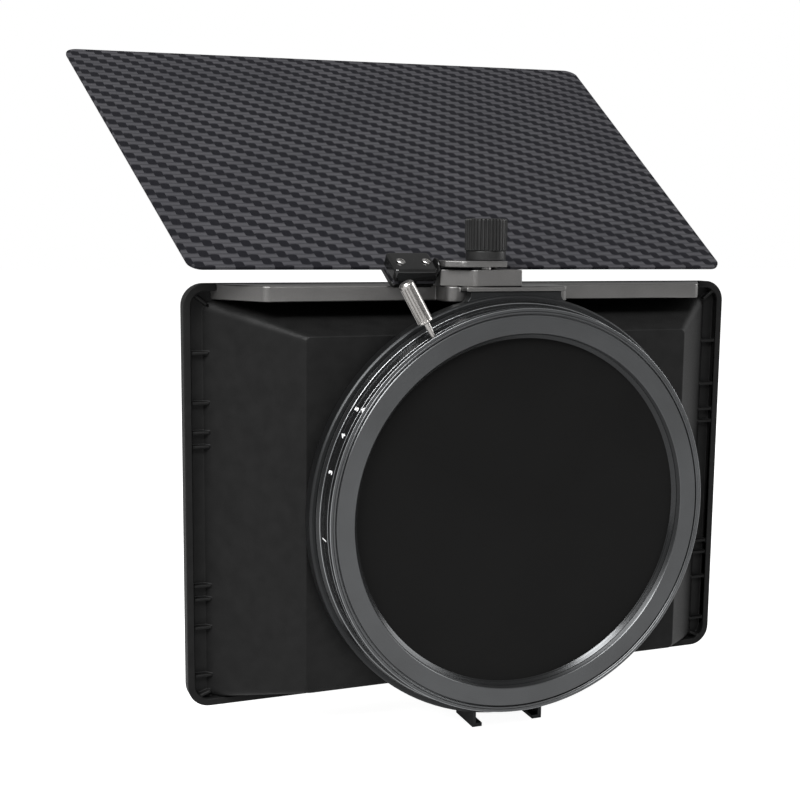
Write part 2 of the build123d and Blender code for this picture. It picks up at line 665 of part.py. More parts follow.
# Rail screws: pan heads on the rim's front face.
with BuildPart() as rail_screws:
    with BuildSketch(across(RIM_FRONT_Y)):
        with Locations(*[(x, RAIL_SCREW_Z) for x in RAIL_SCREW_X]):
            Circle(RAIL_SCREW_R)
    extrude(amount=RAIL_SCREW_LENGTH)
    with BuildSketch(across(RIM_FRONT_Y)):
        with Locations(*[(x, RAIL_SCREW_Z) for x in RAIL_SCREW_X]):
            Circle(RAIL_SCREW_HEAD[0])
            RegularPolygon(RAIL_SCREW_SOCKET_R, 6, mode=Mode.SUBTRACT)
    extrude(amount=-RAIL_SCREW_HEAD[1])
rail_screws.part.label = "rail_screws"
export_step(rail_screws.part, "parts/rail_screws.step")


def countersunk_screws(points, head_z, up, head_r, length):
    """Flat-headed screws whose heads lie flush at head_z: up is +1 for heads on top, -1 for heads below."""
    turn = (0, 0, 0) if up > 0 else (180, 0, 0)
    with BuildPart() as screws:
        with Locations(*[Location((x, y, head_z), turn) for x, y in points]):
            Cylinder(SCREW_R, length, align=(Align.CENTER, Align.CENTER, Align.MAX))
            Cone(SCREW_R, head_r, head_r - SCREW_R, align=(Align.CENTER, Align.CENTER, Align.MAX))
    return screws


# Tab screws: through the tongue's thin skin into the carrier's tab.
tab_screws = countersunk_screws(TAB_SCREWS, RAIL_Z[1], 1, TAB_SCREW_HEAD_R, TAB_SCREW_LENGTH)
tab_screws.part.label = "tab_screws"
export_step(tab_screws.part, "parts/tab_screws.step")

# Block screws: from below the tongue up into the clamp block.
block_screws = countersunk_screws(
    BLOCK_SCREWS, RAIL_Z[0], -1, BLOCK_SCREW_HEAD_R, BLOCK_TOP_Z - BLOCK_ROOF - RAIL_Z[0]
)
block_screws.part.label = "block_screws"
export_step(block_screws.part, "parts/block_screws.step")

# Clamp block: bolted to the tongue. Its top has half of the bore that grips the flag's shaft.
shaft_end_x = STUD_X - STUD_R - SHAFT_END_GAP
shaft_bore_length = shaft_end_x + SHAFT_BORE_EXTRA - BLOCK_LEFT_X
shaft_bore = Plane(
    origin=(BLOCK_LEFT_X - 0.1, HINGE_Y, HINGE_Z), x_dir=(0, 1, 0), z_dir=(1, 0, 0)
)
with BuildPart() as clamp_block:
    with BuildSketch(Plane.XY.offset(RAIL_Z[1])):
        with BuildLine():
            Polyline(
                (BLOCK_RIGHT_X, BLOCK_REAR_Y),
                (BLOCK_FACET[0], BLOCK_REAR_Y),
                (BLOCK_LEFT_X, BLOCK_FACET[1]),
                (BLOCK_LEFT_X, BLOCK_FRONT_Y),
                (BLOCK_RIGHT_X, BLOCK_FRONT_Y),
                close=True,
            )
        make_face()
    extrude(amount=BLOCK_TOP_Z - RAIL_Z[1])
    rear_corner = clamp_block.edges().filter_by(Axis.Z).filter_by_position(
        Axis.X, BLOCK_FACET[0] - 0.1, BLOCK_FACET[0] + 0.1
    )
    fillet(rear_corner, BLOCK_CORNER_R)
    right_corners = clamp_block.edges().filter_by(Axis.Z).group_by(Axis.X)[-1]
    chamfer(right_corners, 0.4)
    with BuildSketch(shaft_bore):
        Circle(SHAFT_R + RUNNING)
    extrude(amount=shaft_bore_length, mode=Mode.SUBTRACT)
    with Locations((STUD_X, STUD_Y, BLOCK_TOP_Z)):
        Hole(STUD_R, depth=BLOCK_TOP_Z - RAIL_Z[1])
    with Locations(*[Location((x, y, RAIL_Z[1]), (180, 0, 0)) for x, y in BLOCK_SCREWS]):
        Hole(SCREW_R, depth=BLOCK_TOP_Z - BLOCK_ROOF - RAIL_Z[1])
clamp_block.part.label = "clamp_block"
export_step(clamp_block.part, "parts/clamp_block.step")

# Clamp jaw: the plate that the knob presses down. A foot under its right end keeps it level.
with BuildPart() as clamp_jaw:
    with BuildSketch(Plane.XY.offset(JAW_Z[0])):
        with BuildLine():
            Polyline(
                (JAW_RIGHT_X, BLOCK_REAR_Y),
                (JAW_FACET[0], BLOCK_REAR_Y),
                (BLOCK_LEFT_X, JAW_FACET[1]),
                (BLOCK_LEFT_X, BLOCK_FRONT_Y),
                (JAW_RIGHT_X, BLOCK_FRONT_Y),
                close=True,
            )
        make_face()
    extrude(amount=JAW_Z[1] - JAW_Z[0])
    rear_corner = clamp_jaw.edges().filter_by(Axis.Z).filter_by_position(
        Axis.X, JAW_FACET[0] - 0.1, JAW_FACET[0] + 0.1
    )
    fillet(rear_corner, BLOCK_CORNER_R)
    with BuildSketch(Plane.XY.offset(BLOCK_TOP_Z)):
        with Locations((JAW_RIGHT_X - JAW_FOOT[0] / 2, BLOCK_FRONT_Y - 3)):
            Rectangle(*JAW_FOOT)
    extrude(amount=JAW_Z[0] - BLOCK_TOP_Z)
    with BuildSketch(shaft_bore):
        Circle(SHAFT_R + RUNNING)
    extrude(amount=shaft_bore_length, mode=Mode.SUBTRACT)
    with Locations((STUD_X, STUD_Y, JAW_Z[1])):
        Hole(STUD_R + JAW_HOLE_GAP, depth=JAW_Z[1] - JAW_Z[0])
clamp_jaw.part.label = "clamp_jaw"
export_step(clamp_jaw.part, "parts/clamp_jaw.step")

with BuildPart() as clamp_stud:
    with BuildSketch(Plane.XY.offset(RAIL_Z[1])):
        with Locations((STUD_X, STUD_Y)):
            Circle(STUD_R)
    extrude(amount=STUD_TOP_Z - RAIL_Z[1])
    chamfer(clamp_stud.edges().group_by(Axis.Z)[-1], STUD_CHAMFER)
clamp_stud.part.label = "clamp_stud"
export_step(clamp_stud.part, "parts/clamp_stud.step")

# ================ knob: turns on the stud
knob_bottom_z = JAW_Z[1] + KNOB_LIFT
insert_height = STUD_TOP_Z + INSERT_TOP_GAP - knob_bottom_z
with BuildPart() as knob_grip:
    with BuildSketch(Plane.XY.offset(knob_bottom_z)):
        with Locations((STUD_X, STUD_Y)):
            Circle(COLLAR_R)
    extrude(amount=COLLAR_TOP_Z - knob_bottom_z)
    with BuildSketch(Plane.XY.offset(COLLAR_TOP_Z)):
        with Locations((STUD_X, STUD_Y)):
            Circle(KNOB_R)
            with PolarLocations(KNOB_R + 0.05, KNOB_FLUTES):
                Circle(KNOB_FLUTE_R, mode=Mode.SUBTRACT)
    extrude(amount=KNOB_TOP_Z - KNOB_CROWN[1] - COLLAR_TOP_Z)
    with BuildSketch(Plane.XY.offset(KNOB_TOP_Z - KNOB_CROWN[1])):
        with Locations((STUD_X, STUD_Y)):
            Circle(KNOB_R - KNOB_CROWN[0])
    extrude(amount=KNOB_CROWN[1])
    with BuildSketch(Plane.XY.offset(knob_bottom_z)):
        with Locations((STUD_X, STUD_Y)):
            Circle(INSERT_R)
    extrude(amount=insert_height, mode=Mode.SUBTRACT)
knob_grip.part.label = "knob_grip"
export_step(knob_grip.part, "parts/knob_grip.step")

with BuildPart() as knob_insert:
    with BuildSketch(Plane.XY.offset(knob_bottom_z)):
        with Locations((STUD_X, STUD_Y)):
            Circle(INSERT_R)
            Circle(STUD_R + RUNNING, mode=Mode.SUBTRACT)
    extrude(amount=insert_height)
knob_insert.part.label = "knob_insert"
export_step(knob_insert.part, "parts/knob_insert.step")

# ================ flag: arm with its shaft, plate, backing and screws
arm_centre_x = (ARM_X[0] + ARM_X[1]) / 2
arm_width = ARM_X[1] - ARM_X[0]
tab_width = arm_width - FLAG_TAB_EASE
shaft_plane = Plane(origin=(ARM_X[1], HINGE_Y, HINGE_Z), x_dir=(0, 1, 0), z_dir=(1, 0, 0))


def flag_screw_points():
    """The two flag screws, in the flag's own plane."""
    return [(x, FLAG_SCREW_S) for x in FLAG_SCREW_X]


# Flag arm: a thick plate with a round collar and a shaft on its right end.
with BuildPart() as flag_arm:
    with BuildSketch(flag_plane.offset(FLAG_TOP)):
        with Locations((arm_centre_x, (ARM_S[0] + ARM_S[1]) / 2)):
            RectangleRounded(arm_width, ARM_S[1] - ARM_S[0], ARM_CORNER_R)
    extrude(amount=ARM_TOP - FLAG_TOP)
    rear_edges = flag_arm.edges().filter_by(Axis.X).group_by(Axis.Y)[0]
    fillet(rear_edges, ARM_REAR_FILLET)
    with BuildSketch(shaft_plane):
        Circle(SHAFT_COLLAR_R)
    extrude(amount=SHAFT_COLLAR_T)
    with BuildSketch(shaft_plane):
        Circle(SHAFT_R)
    extrude(amount=shaft_end_x - ARM_X[1])
    with BuildSketch(flag_plane.offset(FLAG_TOP)):
        with Locations(*flag_screw_points()):
            Circle(SCREW_R)
    extrude(amount=ARM_TOP - FLAG_TOP, mode=Mode.SUBTRACT)
flag_arm.part.label = "flag_arm"
export_step(flag_arm.part, "parts/flag_arm.step")

# Flag plate: a thin stiff sheet, wider at its far edge, with a small tab that is held under the arm.
with BuildPart() as flag_plate:
    with BuildSketch(flag_plane.offset(FLAG_TOP)):
        with BuildLine():
            Polyline(
                (FLAG_CENTRE_X - FLAG_NEAR_WIDTH / 2, FLAG_NEAR_S),
                (FLAG_CENTRE_X - FLAG_FAR_WIDTH / 2, FLAG_LEFT_S),
                (FLAG_CENTRE_X + FLAG_FAR_WIDTH / 2, FLAG_RIGHT_S),
                (FLAG_CENTRE_X + FLAG_NEAR_WIDTH / 2, FLAG_NEAR_S),
                close=True,
            )
        make_face()
        fillet(vertices(), FLAG_CORNER_R)
        with Locations((arm_centre_x, sum(FLAG_TAB_S) / 2)):
            Rectangle(tab_width, FLAG_TAB_S[1] - FLAG_TAB_S[0])
        with Locations(*flag_screw_points()):
            Circle(SCREW_R, mode=Mode.SUBTRACT)
    extrude(amount=-FLAG_T)
flag_plate.part.label = "flag_plate"
export_step(flag_plate.part, "parts/flag_plate.step")

# Backing plate: takes the two screws under the flag.
with BuildPart() as flag_backing:
    with BuildSketch(flag_plane.offset(FLAG_TOP - FLAG_T)):
        with Locations((arm_centre_x, sum(BACKING_S) / 2)):
            RectangleRounded(arm_width, BACKING_S[1] - BACKING_S[0], ARM_CORNER_R)
        with Locations(*flag_screw_points()):
            Circle(SCREW_R, mode=Mode.SUBTRACT)
    extrude(amount=-BACKING_T)
flag_backing.part.label = "flag_backing"
export_step(flag_backing.part, "parts/flag_backing.step")

with BuildPart() as flag_screws:
    with BuildSketch(flag_plane.offset(ARM_TOP)):
        with Locations(*flag_screw_points()):
            Circle(FLAG_SCREW_HEAD[0])
    extrude(amount=FLAG_SCREW_HEAD[1])
    slot_length, slot_width, slot_depth = FLAG_SCREW_SLOT
    with BuildSketch(flag_plane.offset(ARM_TOP + FLAG_SCREW_HEAD[1])):
        with Locations(*flag_screw_points()):
            Rectangle(slot_length, slot_width)
            Rectangle(slot_width, slot_length)
    extrude(amount=-slot_depth, mode=Mode.SUBTRACT)
    with BuildSketch(flag_plane.offset(ARM_TOP)):
        with Locations(*flag_screw_points()):
            Circle(SCREW_R)
    extrude(amount=FLAG_TOP - FLAG_T - BACKING_T - ARM_TOP)
flag_screws.part.label = "flag_screws"
export_step(flag_screws.part, "parts/flag_screws.step")
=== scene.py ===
# %% [markdown]
# # A clip-on lens hood with a variable filter
# The hood is a square plastic funnel with a metal top rail, a hinged flag and a round filter module that
# clips it to a lens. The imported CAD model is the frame: every piece below is built around it, in metres,
# and rides on one of its bodies. +Y runs along the optical axis towards the subject, +Z is up.

# %% Load the frame
import math

import bmesh
import bpy
from mathutils import Matrix, Vector


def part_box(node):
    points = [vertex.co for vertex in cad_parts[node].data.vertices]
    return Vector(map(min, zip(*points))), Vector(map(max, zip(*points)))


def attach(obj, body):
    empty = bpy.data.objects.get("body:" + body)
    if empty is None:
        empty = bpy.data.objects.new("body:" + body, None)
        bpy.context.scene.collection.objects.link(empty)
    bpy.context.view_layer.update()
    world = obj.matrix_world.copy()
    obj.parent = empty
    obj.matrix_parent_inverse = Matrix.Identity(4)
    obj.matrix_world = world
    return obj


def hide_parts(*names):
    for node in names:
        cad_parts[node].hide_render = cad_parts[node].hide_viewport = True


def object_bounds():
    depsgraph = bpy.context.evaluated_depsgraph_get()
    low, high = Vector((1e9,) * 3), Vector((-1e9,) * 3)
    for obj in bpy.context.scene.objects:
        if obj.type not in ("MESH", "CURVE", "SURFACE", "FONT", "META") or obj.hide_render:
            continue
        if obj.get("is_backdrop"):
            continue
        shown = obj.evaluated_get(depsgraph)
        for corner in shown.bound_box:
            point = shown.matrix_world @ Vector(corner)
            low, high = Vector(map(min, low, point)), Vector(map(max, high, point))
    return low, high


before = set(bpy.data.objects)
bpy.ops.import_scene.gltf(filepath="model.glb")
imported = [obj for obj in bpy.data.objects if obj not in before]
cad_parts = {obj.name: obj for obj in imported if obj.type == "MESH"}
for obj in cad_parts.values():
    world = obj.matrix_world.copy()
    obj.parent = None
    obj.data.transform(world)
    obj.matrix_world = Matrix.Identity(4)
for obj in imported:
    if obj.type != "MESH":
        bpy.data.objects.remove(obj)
cad_low, cad_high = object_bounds()
MM = 0.001
print("CAD box, mm:", [round(v / MM, 1) for v in cad_high - cad_low])

# %% [markdown]
# ## Shared measures
# A few radii and angles are used by several pieces.

# %% Measures
LEVER_ANGLE = 119.5           # degrees from +X towards +Z, seen from the lens side
INDEX_ANGLE = 147.0           # where the control ring's white triangle stands
FLAG_TILT = 29.7              # degrees above level
FLAG_TOP = -2.16              # the flag's upper face, below the hinge plane
ARM_TOP = 1.3
HINGE = Vector((0, 18.0, 63.85))
STUD = Vector((-6.5, 14.3, 0))
RING_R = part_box("control_ring")[1].x / MM
print("control ring radius, mm:", round(RING_R, 2))

# %% [markdown]
# ## Small helpers for materials
# Each finish is a node material. `Shader` wraps the node tree so that a material reads like a list of
# steps: coordinates, then noise or a pattern, then colour, roughness and bump into one Principled shader.


# %% Material helpers
class Shader:
    """A material with one Principled shader and short calls to add and link nodes."""

    def __init__(self, name, **constants):
        self.material = bpy.data.materials.new(name)
        self.material.use_nodes = True
        self.tree = self.material.node_tree
        self.surface = self.tree.nodes["Principled BSDF"]
        for socket, value in constants.items():
            self.surface.inputs[socket.replace("_", " ")].default_value = value
        self.place = self.tree.nodes.new("ShaderNodeTexCoord").outputs["Object"]

    def node(self, kind, settings=None, **inputs):
        made = self.tree.nodes.new("ShaderNode" + kind)
        for key, value in (settings or {}).items():
            setattr(made, key, value)
        for key, value in inputs.items():
            self.feed(made.inputs[int(key[1:]) if key[1:].isdigit() else key.replace("_", " ")], value)
        return made

    def feed(self, socket, value):
        if isinstance(value, bpy.types.NodeSocket):
            self.tree.links.new(value, socket)
        else:
            socket.default_value = value

    def math(self, operation, a, b=0.0, c=0.0):
        return self.node("Math", {"operation": operation}, i0=a, i1=b, i2=c).outputs[0]

    def noise(self, scale, detail=3.0, vector=None, stretch=None):
        """Grain: 0 to 1, with `scale` grains per metre, stretched along an axis if asked."""
        vector = vector or self.place
        if stretch:
            vector = self.node("Mapping", Vector=vector, Scale=stretch).outputs[0]
        return self.node("TexNoise", Vector=vector, Scale=scale, Detail=detail).outputs["Fac"]

    def spread(self, value, low, high, start=0.3, stop=0.7):
        """Maps a 0 to 1 pattern onto low to high."""
        return self.node(
            "MapRange", i0=value, i1=start, i2=stop, i3=low, i4=high
        ).outputs[0]

    def blend(self, factor, first, second):
        mix = self.node("Mix", {"data_type": "RGBA"}, i0=factor)
        self.feed(mix.inputs[6], first)
        self.feed(mix.inputs[7], second)
        return mix.outputs[2]

    def bump(self, height, distance, strength=1.0):
        made = self.node("Bump", Height=height, Distance=distance, Strength=strength)
        self.feed(self.surface.inputs["Normal"], made.outputs[0])

    def set(self, **links):
        for socket, value in links.items():
            self.feed(self.surface.inputs[socket.replace("_", " ")], value)
        return self


def grey(value, warmth=0.0):
    """A near-neutral colour; warmth above 0 leans to yellow, below 0 to blue."""
    return (value * (1 + warmth), value, value * (1 - warmth), 1.0)


# %% [markdown]
# ## Metal finishes
# Turned rings keep the faint circular marks of the lathe, so their grain is a function of the distance from
# the optical axis. Milled parts are blasted before anodising, which leaves an even, fine grain; their edges
# are cut afterwards and stay bright, so edges get a finish of their own.


# %% Turned and blasted metal
def turned_metal(name, base, roughness, marks=5200.0):
    s = Shader(name, Metallic=0.9, Specular_IOR_Level=0.5)
    axes = s.node("SeparateXYZ", Vector=s.place).outputs
    radius = s.math("SQRT", s.math("ADD", s.math("POWER", axes[0], 2.0), s.math("POWER", axes[2], 2.0)))
    profile = s.math("ADD", radius, s.math("MULTIPLY", axes[1], 0.7))
    rings = s.node("TexNoise", {"noise_dimensions": "1D"}, W=profile, Scale=marks, Detail=2.0).outputs["Fac"]
    cloud = s.noise(60.0, 2.0)
    tone = s.math("ADD", s.math("MULTIPLY", rings, 0.35), s.math("MULTIPLY", cloud, 0.65))
    s.set(Base_Color=s.blend(s.spread(tone, 0, 1), grey(base * 0.88, -0.02), grey(base * 1.12, -0.03)))
    s.set(Roughness=s.spread(rings, roughness - 0.05, roughness + 0.06))
    s.bump(rings, 0.00001, 0.5)
    return s.material


def blasted_metal(name, base, roughness, grain=4200.0, warmth=0.02, metallic=0.9):
    s = Shader(name, Metallic=metallic, Specular_IOR_Level=0.5)
    fine, broad = s.noise(grain, 4.0), s.noise(90.0, 2.0)
    tone = s.math("ADD", s.math("MULTIPLY", fine, 0.5), s.math("MULTIPLY", broad, 0.5))
    s.set(Base_Color=s.blend(s.spread(tone, 0, 1), grey(base * 0.85, warmth), grey(base * 1.15, warmth)))
    s.set(Roughness=s.spread(fine, roughness - 0.06, roughness + 0.08))
    s.bump(fine, 0.00002, 0.6)
    return s.material


ring_metal = turned_metal("anodised_turned", 0.055, 0.22)
seat_metal = turned_metal("anodised_seat_face", 0.105, 0.34)
bore_metal = turned_metal("anodised_bore", 0.042, 0.22)
thread_metal = turned_metal("anodised_thread", 0.035, 0.34)
carrier_metal = blasted_metal("anodised_carrier", 0.034, 0.40, warmth=-0.03)
rail_metal = blasted_metal("rail_blasted", 0.18, 0.38)
rail_edge = blasted_metal("rail_cut_edge", 0.72, 0.30, grain=9000.0)
ring_edge = turned_metal("anodised_ring_edge", 0.30, 0.27)
steel = blasted_metal("bright_steel", 0.62, 0.24, grain=6000.0, metallic=1.0)
dark_steel = blasted_metal("screw_black_steel", 0.09, 0.34, grain=6000.0, metallic=1.0)
lever_metal = blasted_metal("lever_satin_steel", 0.40, 0.26, grain=5000.0, warmth=0.035, metallic=1.0)
brass = blasted_metal("insert_turned_brass", 0.5, 0.32, grain=5000.0, warmth=0.32, metallic=1.0)

# %% [markdown]
# ## Plastics, paint and glass
# The hood is moulded in a mould with a sparked surface, which gives a fine matt grain over a slight orange
# peel. The flag's clamp is polished black. The filter glass is dense and coated, so it returns very little
# light.


# %% Plastics, paint and glass
def moulded_plastic(name, base, roughness, grain=3400.0, depth=0.00003, level=0.3, tint=0.0):
    s = Shader(name, Specular_IOR_Level=level)
    fine, peel = s.noise(grain, 3.0), s.noise(260.0, 2.0)
    s.set(Base_Color=s.blend(s.spread(peel, 0, 1), grey(base * 0.85, tint), grey(base * 1.2, tint)))
    s.set(Roughness=s.spread(fine, roughness - 0.06, roughness + 0.07))
    s.bump(s.math("ADD", fine, s.math("MULTIPLY", peel, 0.4)), depth, 0.6)
    return s.material


def filter_glass(name):
    s = Shader(name, Specular_IOR_Level=0.05, IOR=1.5)
    haze = s.noise(40.0, 2.0)
    s.set(Base_Color=s.blend(s.spread(haze, 0, 1), grey(0.0060, 0.01), grey(0.0068, 0.01)))
    s.set(Roughness=s.spread(haze, 0.30, 0.36))
    return s.material


def white_paint(name):
    s = Shader(name, Specular_IOR_Level=0.3)
    s.set(Base_Color=s.blend(s.noise(5000.0), grey(0.72), grey(0.86)))
    s.set(Roughness=s.spread(s.noise(2600.0), 0.45, 0.6))
    return s.material


hood_plastic = moulded_plastic("hood_sparked_plastic", 0.007, 0.48, level=0.14)
knob_plastic = moulded_plastic("knob_plastic", 0.012, 0.36, grain=5200.0, level=0.35)
hinge_black = moulded_plastic("hinge_polished_black", 0.006, 0.16, grain=1500.0, depth=0.000004, level=0.5)
washer_polymer = moulded_plastic("washer_polymer", 0.5, 0.5, tint=0.03)
glass_dark = filter_glass("filter_glass_dark")
paint = white_paint("scale_white_paint")

# %% [markdown]
# ## The flag's laminate
# The flag is a stiff sheet faced with a two-by-two twill. A twill is an integer pattern: with tows counted
# across (i) and along (j) the sheet, a cross tow lies on top where (i + j) mod 4 is 0 or 1. The shader
# works that out in the sheet's own plane, rounds each tow with a little bump, and lets the two directions
# differ in shade. Each cross tow also gets painted shade: its colour darkens towards its edges, where it
# curves down into the weave.

# %% Twill laminate
TOW_ACROSS, TOW_ALONG = 2.56 * MM, 1.8 * MM
CLOTH_SKEW = 0.073            # the cloth is laid a little off square
TOW_LIGHT = (0.033, 0.033, 0.037, 1), (0.058, 0.057, 0.062, 1)
TOW_DARK = (0.005, 0.005, 0.007, 1), (0.011, 0.011, 0.013, 1)
# painted shade: the darker colour a cross tow takes at its edges, where it curves down
TOW_EDGE_PAINTED_SHADE = (0.021, 0.021, 0.024, 1)


def twill_laminate(name):
    s = Shader(name, Specular_IOR_Level=0.06)
    plane = s.node("Mapping", Vector=s.place, Rotation=(-math.radians(FLAG_TILT), 0, 0)).outputs[0]
    x, along, _ = s.node("SeparateXYZ", Vector=plane).outputs
    v = s.math("DIVIDE", along, TOW_ALONG)
    u = s.math("MULTIPLY_ADD", v, CLOTH_SKEW, s.math("DIVIDE", x, TOW_ACROSS))
    # rows are counted from the twill line, 0 to 4, and a long tow lies on top about row 3
    step = s.math("FLOORED_MODULO", s.math("ADD", v, s.math("FLOOR", u)), 4.0)
    off_middle = s.math("ABSOLUTE", s.math("SUBTRACT", step, 3.0))
    across = s.math("ABSOLUTE", s.math("MULTIPLY_ADD", s.math("FRACT", u), 2.0, -1.0))
    reach = s.math("MULTIPLY_ADD", s.math("POWER", across, 2.5), -0.15, 0.91)
    inside = s.math("SUBTRACT", reach, off_middle)
    long_on_top = s.spread(inside, 0.0, 1.0, -0.10, 0.10)
    long_height = s.math("MULTIPLY", s.spread(inside, 0.0, 1.0, 0.0, 0.5), s.math("SUBTRACT", 1.0, across))
    ridge = s.math("ABSOLUTE", s.math("MULTIPLY_ADD", s.math("FRACT", v), 2.0, -1.0))
    cross_height = s.math("SUBTRACT", 1.0, s.math("POWER", ridge, 3.0))
    height = s.node("Mix", {"data_type": "FLOAT"}, i0=long_on_top, i2=cross_height, i3=long_height).outputs[0]
    fibres_cross = s.noise(900.0, 3.0, plane, (0.25, 5.0, 1.0))
    fibres_long = s.noise(900.0, 3.0, plane, (5.0, 0.25, 1.0))
    fibres = s.node("Mix", {"data_type": "FLOAT"}, i0=long_on_top, i2=fibres_cross, i3=fibres_long).outputs[0]
    patch = s.spread(s.noise(45.0, 2.0), 0.0, 1.0)
    light = s.blend(s.math("MULTIPLY_ADD", fibres, 0.6, s.math("MULTIPLY", patch, 0.4)), *TOW_LIGHT)
    # painted shade: each cross tow fades from its light colour at the crown to the painted shade at its edges
    shaded = s.blend(s.spread(cross_height, 0.0, 1.0, 0.0, 0.85), TOW_EDGE_PAINTED_SHADE, light)
    s.set(Base_Color=s.blend(long_on_top, shaded, s.blend(fibres, *TOW_DARK)))
    s.set(Roughness=s.spread(fibres, 0.46, 0.58))
    s.bump(s.math("MULTIPLY_ADD", fibres, 0.2, height), 0.00006, 0.5)
    return s.material


flag_laminate = twill_laminate("flag_twill_laminate")
print("finishes made:", len(bpy.data.materials))

# %% [markdown]
# ## Helpers for pieces
# `turned` makes a solid of revolution from a list of (radius, height, corner) points, as on a lathe: the
# third number rounds that corner, because a sharp edge never catches the light. `settle` finishes any mesh:
# it is smooth within an angle, gets its materials, and rides on its body.


# %% Piece helpers
SUPPORT = 1.25                # where a corner's support point lies, against the corner's size


def rounded(profile):
    """Rounds a profile's corners. Returns points, each with the finish of the segment that starts there.

    A rounded corner has finish 1. Elsewhere it is the point's own fourth value, or 0. A support point on both
    sides of a corner keeps the flats flat under smooth shading.
    """
    points, count = [], len(profile)
    finishes = [point[3] if len(point) > 3 else 0 for point in profile]
    for k, point in enumerate(profile):
        here, corner = Vector(point[:2]), point[2]
        if not corner:
            points.append((here, finishes[k]))
            continue
        before = (Vector(profile[k - 1][:2]) - here).normalized() * corner
        after = (Vector(profile[(k + 1) % count][:2]) - here).normalized() * corner
        points.append((here + before * SUPPORT, finishes[k - 1]))
        points += [(here + before * (1 - t) ** 2 + after * t**2, 1) for t in (0, 0.33, 0.67)]
        points += [(here + after, finishes[k]), (here + after * SUPPORT, finishes[k])]
    return points


def new_object(name, mesh):
    made = bpy.data.objects.new(name, mesh)
    bpy.context.scene.collection.objects.link(made)
    return made


def optical(radius, angle, depth):
    """A point about the optical axis, in metres, from radius and depth in millimetres."""
    return Vector((radius * math.cos(angle), depth, radius * math.sin(angle))) * MM


def upright(radius, angle, height):
    return Vector((radius * math.cos(angle), radius * math.sin(angle), height)) * MM


def turned(name, profile, segments=192, about=optical):
    """A closed solid of revolution. A profile that starts and ends at radius 0 closes at its poles."""
    points = rounded(profile)
    bm = bmesh.new()
    finish = bm.faces.layers.int.new("finish")
    rings = []
    for k in range(segments):
        angle = 2 * math.pi * k / segments
        rings.append([bm.verts.new(about(p.x, angle, p.y)) for p, _ in points])
    for k in range(segments):
        here, there = rings[k], rings[(k + 1) % segments]
        for m in range(len(points)):
            n = (m + 1) % len(points)
            if points[m][0].x < 1e-9 and points[n][0].x < 1e-9:
                continue
            bm.faces.new((here[m], here[n], there[n], there[m]))[finish] = points[m][1]
    bmesh.ops.remove_doubles(bm, verts=bm.verts, dist=1e-7)
    bmesh.ops.dissolve_degenerate(bm, edges=bm.edges, dist=1e-7)
    bmesh.ops.recalc_face_normals(bm, faces=bm.faces)
    mesh = bpy.data.meshes.new(name)
    bm.to_mesh(mesh)
    bm.free()
    return new_object(name, mesh)


def smooth(mesh, angle=36.0):
    mesh.shade_smooth()
    mesh.set_sharp_from_angle(angle=math.radians(angle))


def dress(piece, *materials):
    piece.data.materials.clear()
    for material in materials:
        piece.data.materials.append(material)


def settle(piece, body, slot, *materials, nodes=(), angle=36.0):
    """Shades, dresses and mounts a finished piece."""
    smooth(piece.data, angle)
    dress(piece, *materials)
    finish = piece.data.attributes.get("finish")
    if finish:
        top = len(materials) - 1
        piece.data.polygons.foreach_set("material_index", [min(mark.value, top) for mark in finish.data])
        piece.data.attributes.remove(finish)
    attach(piece, body)
    if nodes:
        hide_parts(*nodes)
    return piece


def baked(piece):
    """Turns a piece with live modifiers into a plain mesh."""
    graph = bpy.context.evaluated_depsgraph_get()
    mesh = bpy.data.meshes.new_from_object(piece.evaluated_get(graph), depsgraph=graph)
    piece.modifiers.clear()
    piece.data = mesh
    return piece


def eased(node, name, width, segments=2, limit=30.0, flatten=0.6):
    """A copy of a CAD node with its edges eased. The new edge faces take the second material."""
    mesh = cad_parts[node].data.copy()
    bm = bmesh.new()
    bm.from_mesh(mesh)
    bmesh.ops.remove_doubles(bm, verts=bm.verts, dist=2e-6)
    bmesh.ops.dissolve_limit(bm, angle_limit=math.radians(flatten), verts=bm.verts, edges=bm.edges)
    for face in bm.faces:
        face.material_index = 0
    bm.to_mesh(mesh)
    bm.free()
    piece = new_object(name, mesh)
    ease = piece.modifiers.new("ease", "BEVEL")
    ease.width, ease.segments = width * MM, segments
    ease.limit_method, ease.angle_limit = "ANGLE", math.radians(limit)
    ease.material = 1
    ease.use_clamp_overlap = False
    weigh = piece.modifiers.new("weigh", "WEIGHTED_NORMAL")
    weigh.keep_sharp = True
    for _ in ("faces", "edges"):
        mesh.materials.append(None)
    mesh.shade_smooth()
    return baked(piece)


# %% [markdown]
# ## Rings of the filter module
# Seen from the lens, the module is a stack of turned rings: the seat ring with its threaded bore, the
# rotating control ring, the scale ring with its white numbers, the cover, and last the carrier that holds
# the hood. Thin gaps between them show as dark lines, and every lip is rounded so that it shows as a bright
# one. The seat's bore opens in a polished cone and ends in a few shallow thread ridges, each with a finish
# of its own.

# %% Seat ring, with the thread that takes a lens
THREAD_PITCH = 0.5
seat_profile = [
    (47.4, 0.15, 0),
    (47.55, 0.0, 0),
    (52.1, 0.0, 0),
    (52.3, 0.2, 0),
    (52.3, 0.6, 0),
    (49.6, 0.6, 0.05),
    (49.6, 3.1, 0.05),
    (49.2, 3.1, 0),
    (49.2, 4.5, 0.1),
    (47.7, 4.5, 0.1),
    (47.7, 2.6, 0),
    (46.1, 2.6, 0, 2),
    (47.12, 1.75, 0, 3),
]
for turn in range(2):
    crest = 1.5 - THREAD_PITCH * turn
    seat_profile += [(47.15, crest, 0, 3), (47.4, crest - THREAD_PITCH / 2, 0, 3)]
seat_profile.append((47.2, 0.4, 0, 3))
settle(
    turned("seat_ring_turned", seat_profile, 224),
    "lens_mount", "anodised_ring", seat_metal, ring_edge, bore_metal,
    thread_metal, nodes=["seat_ring"],
)

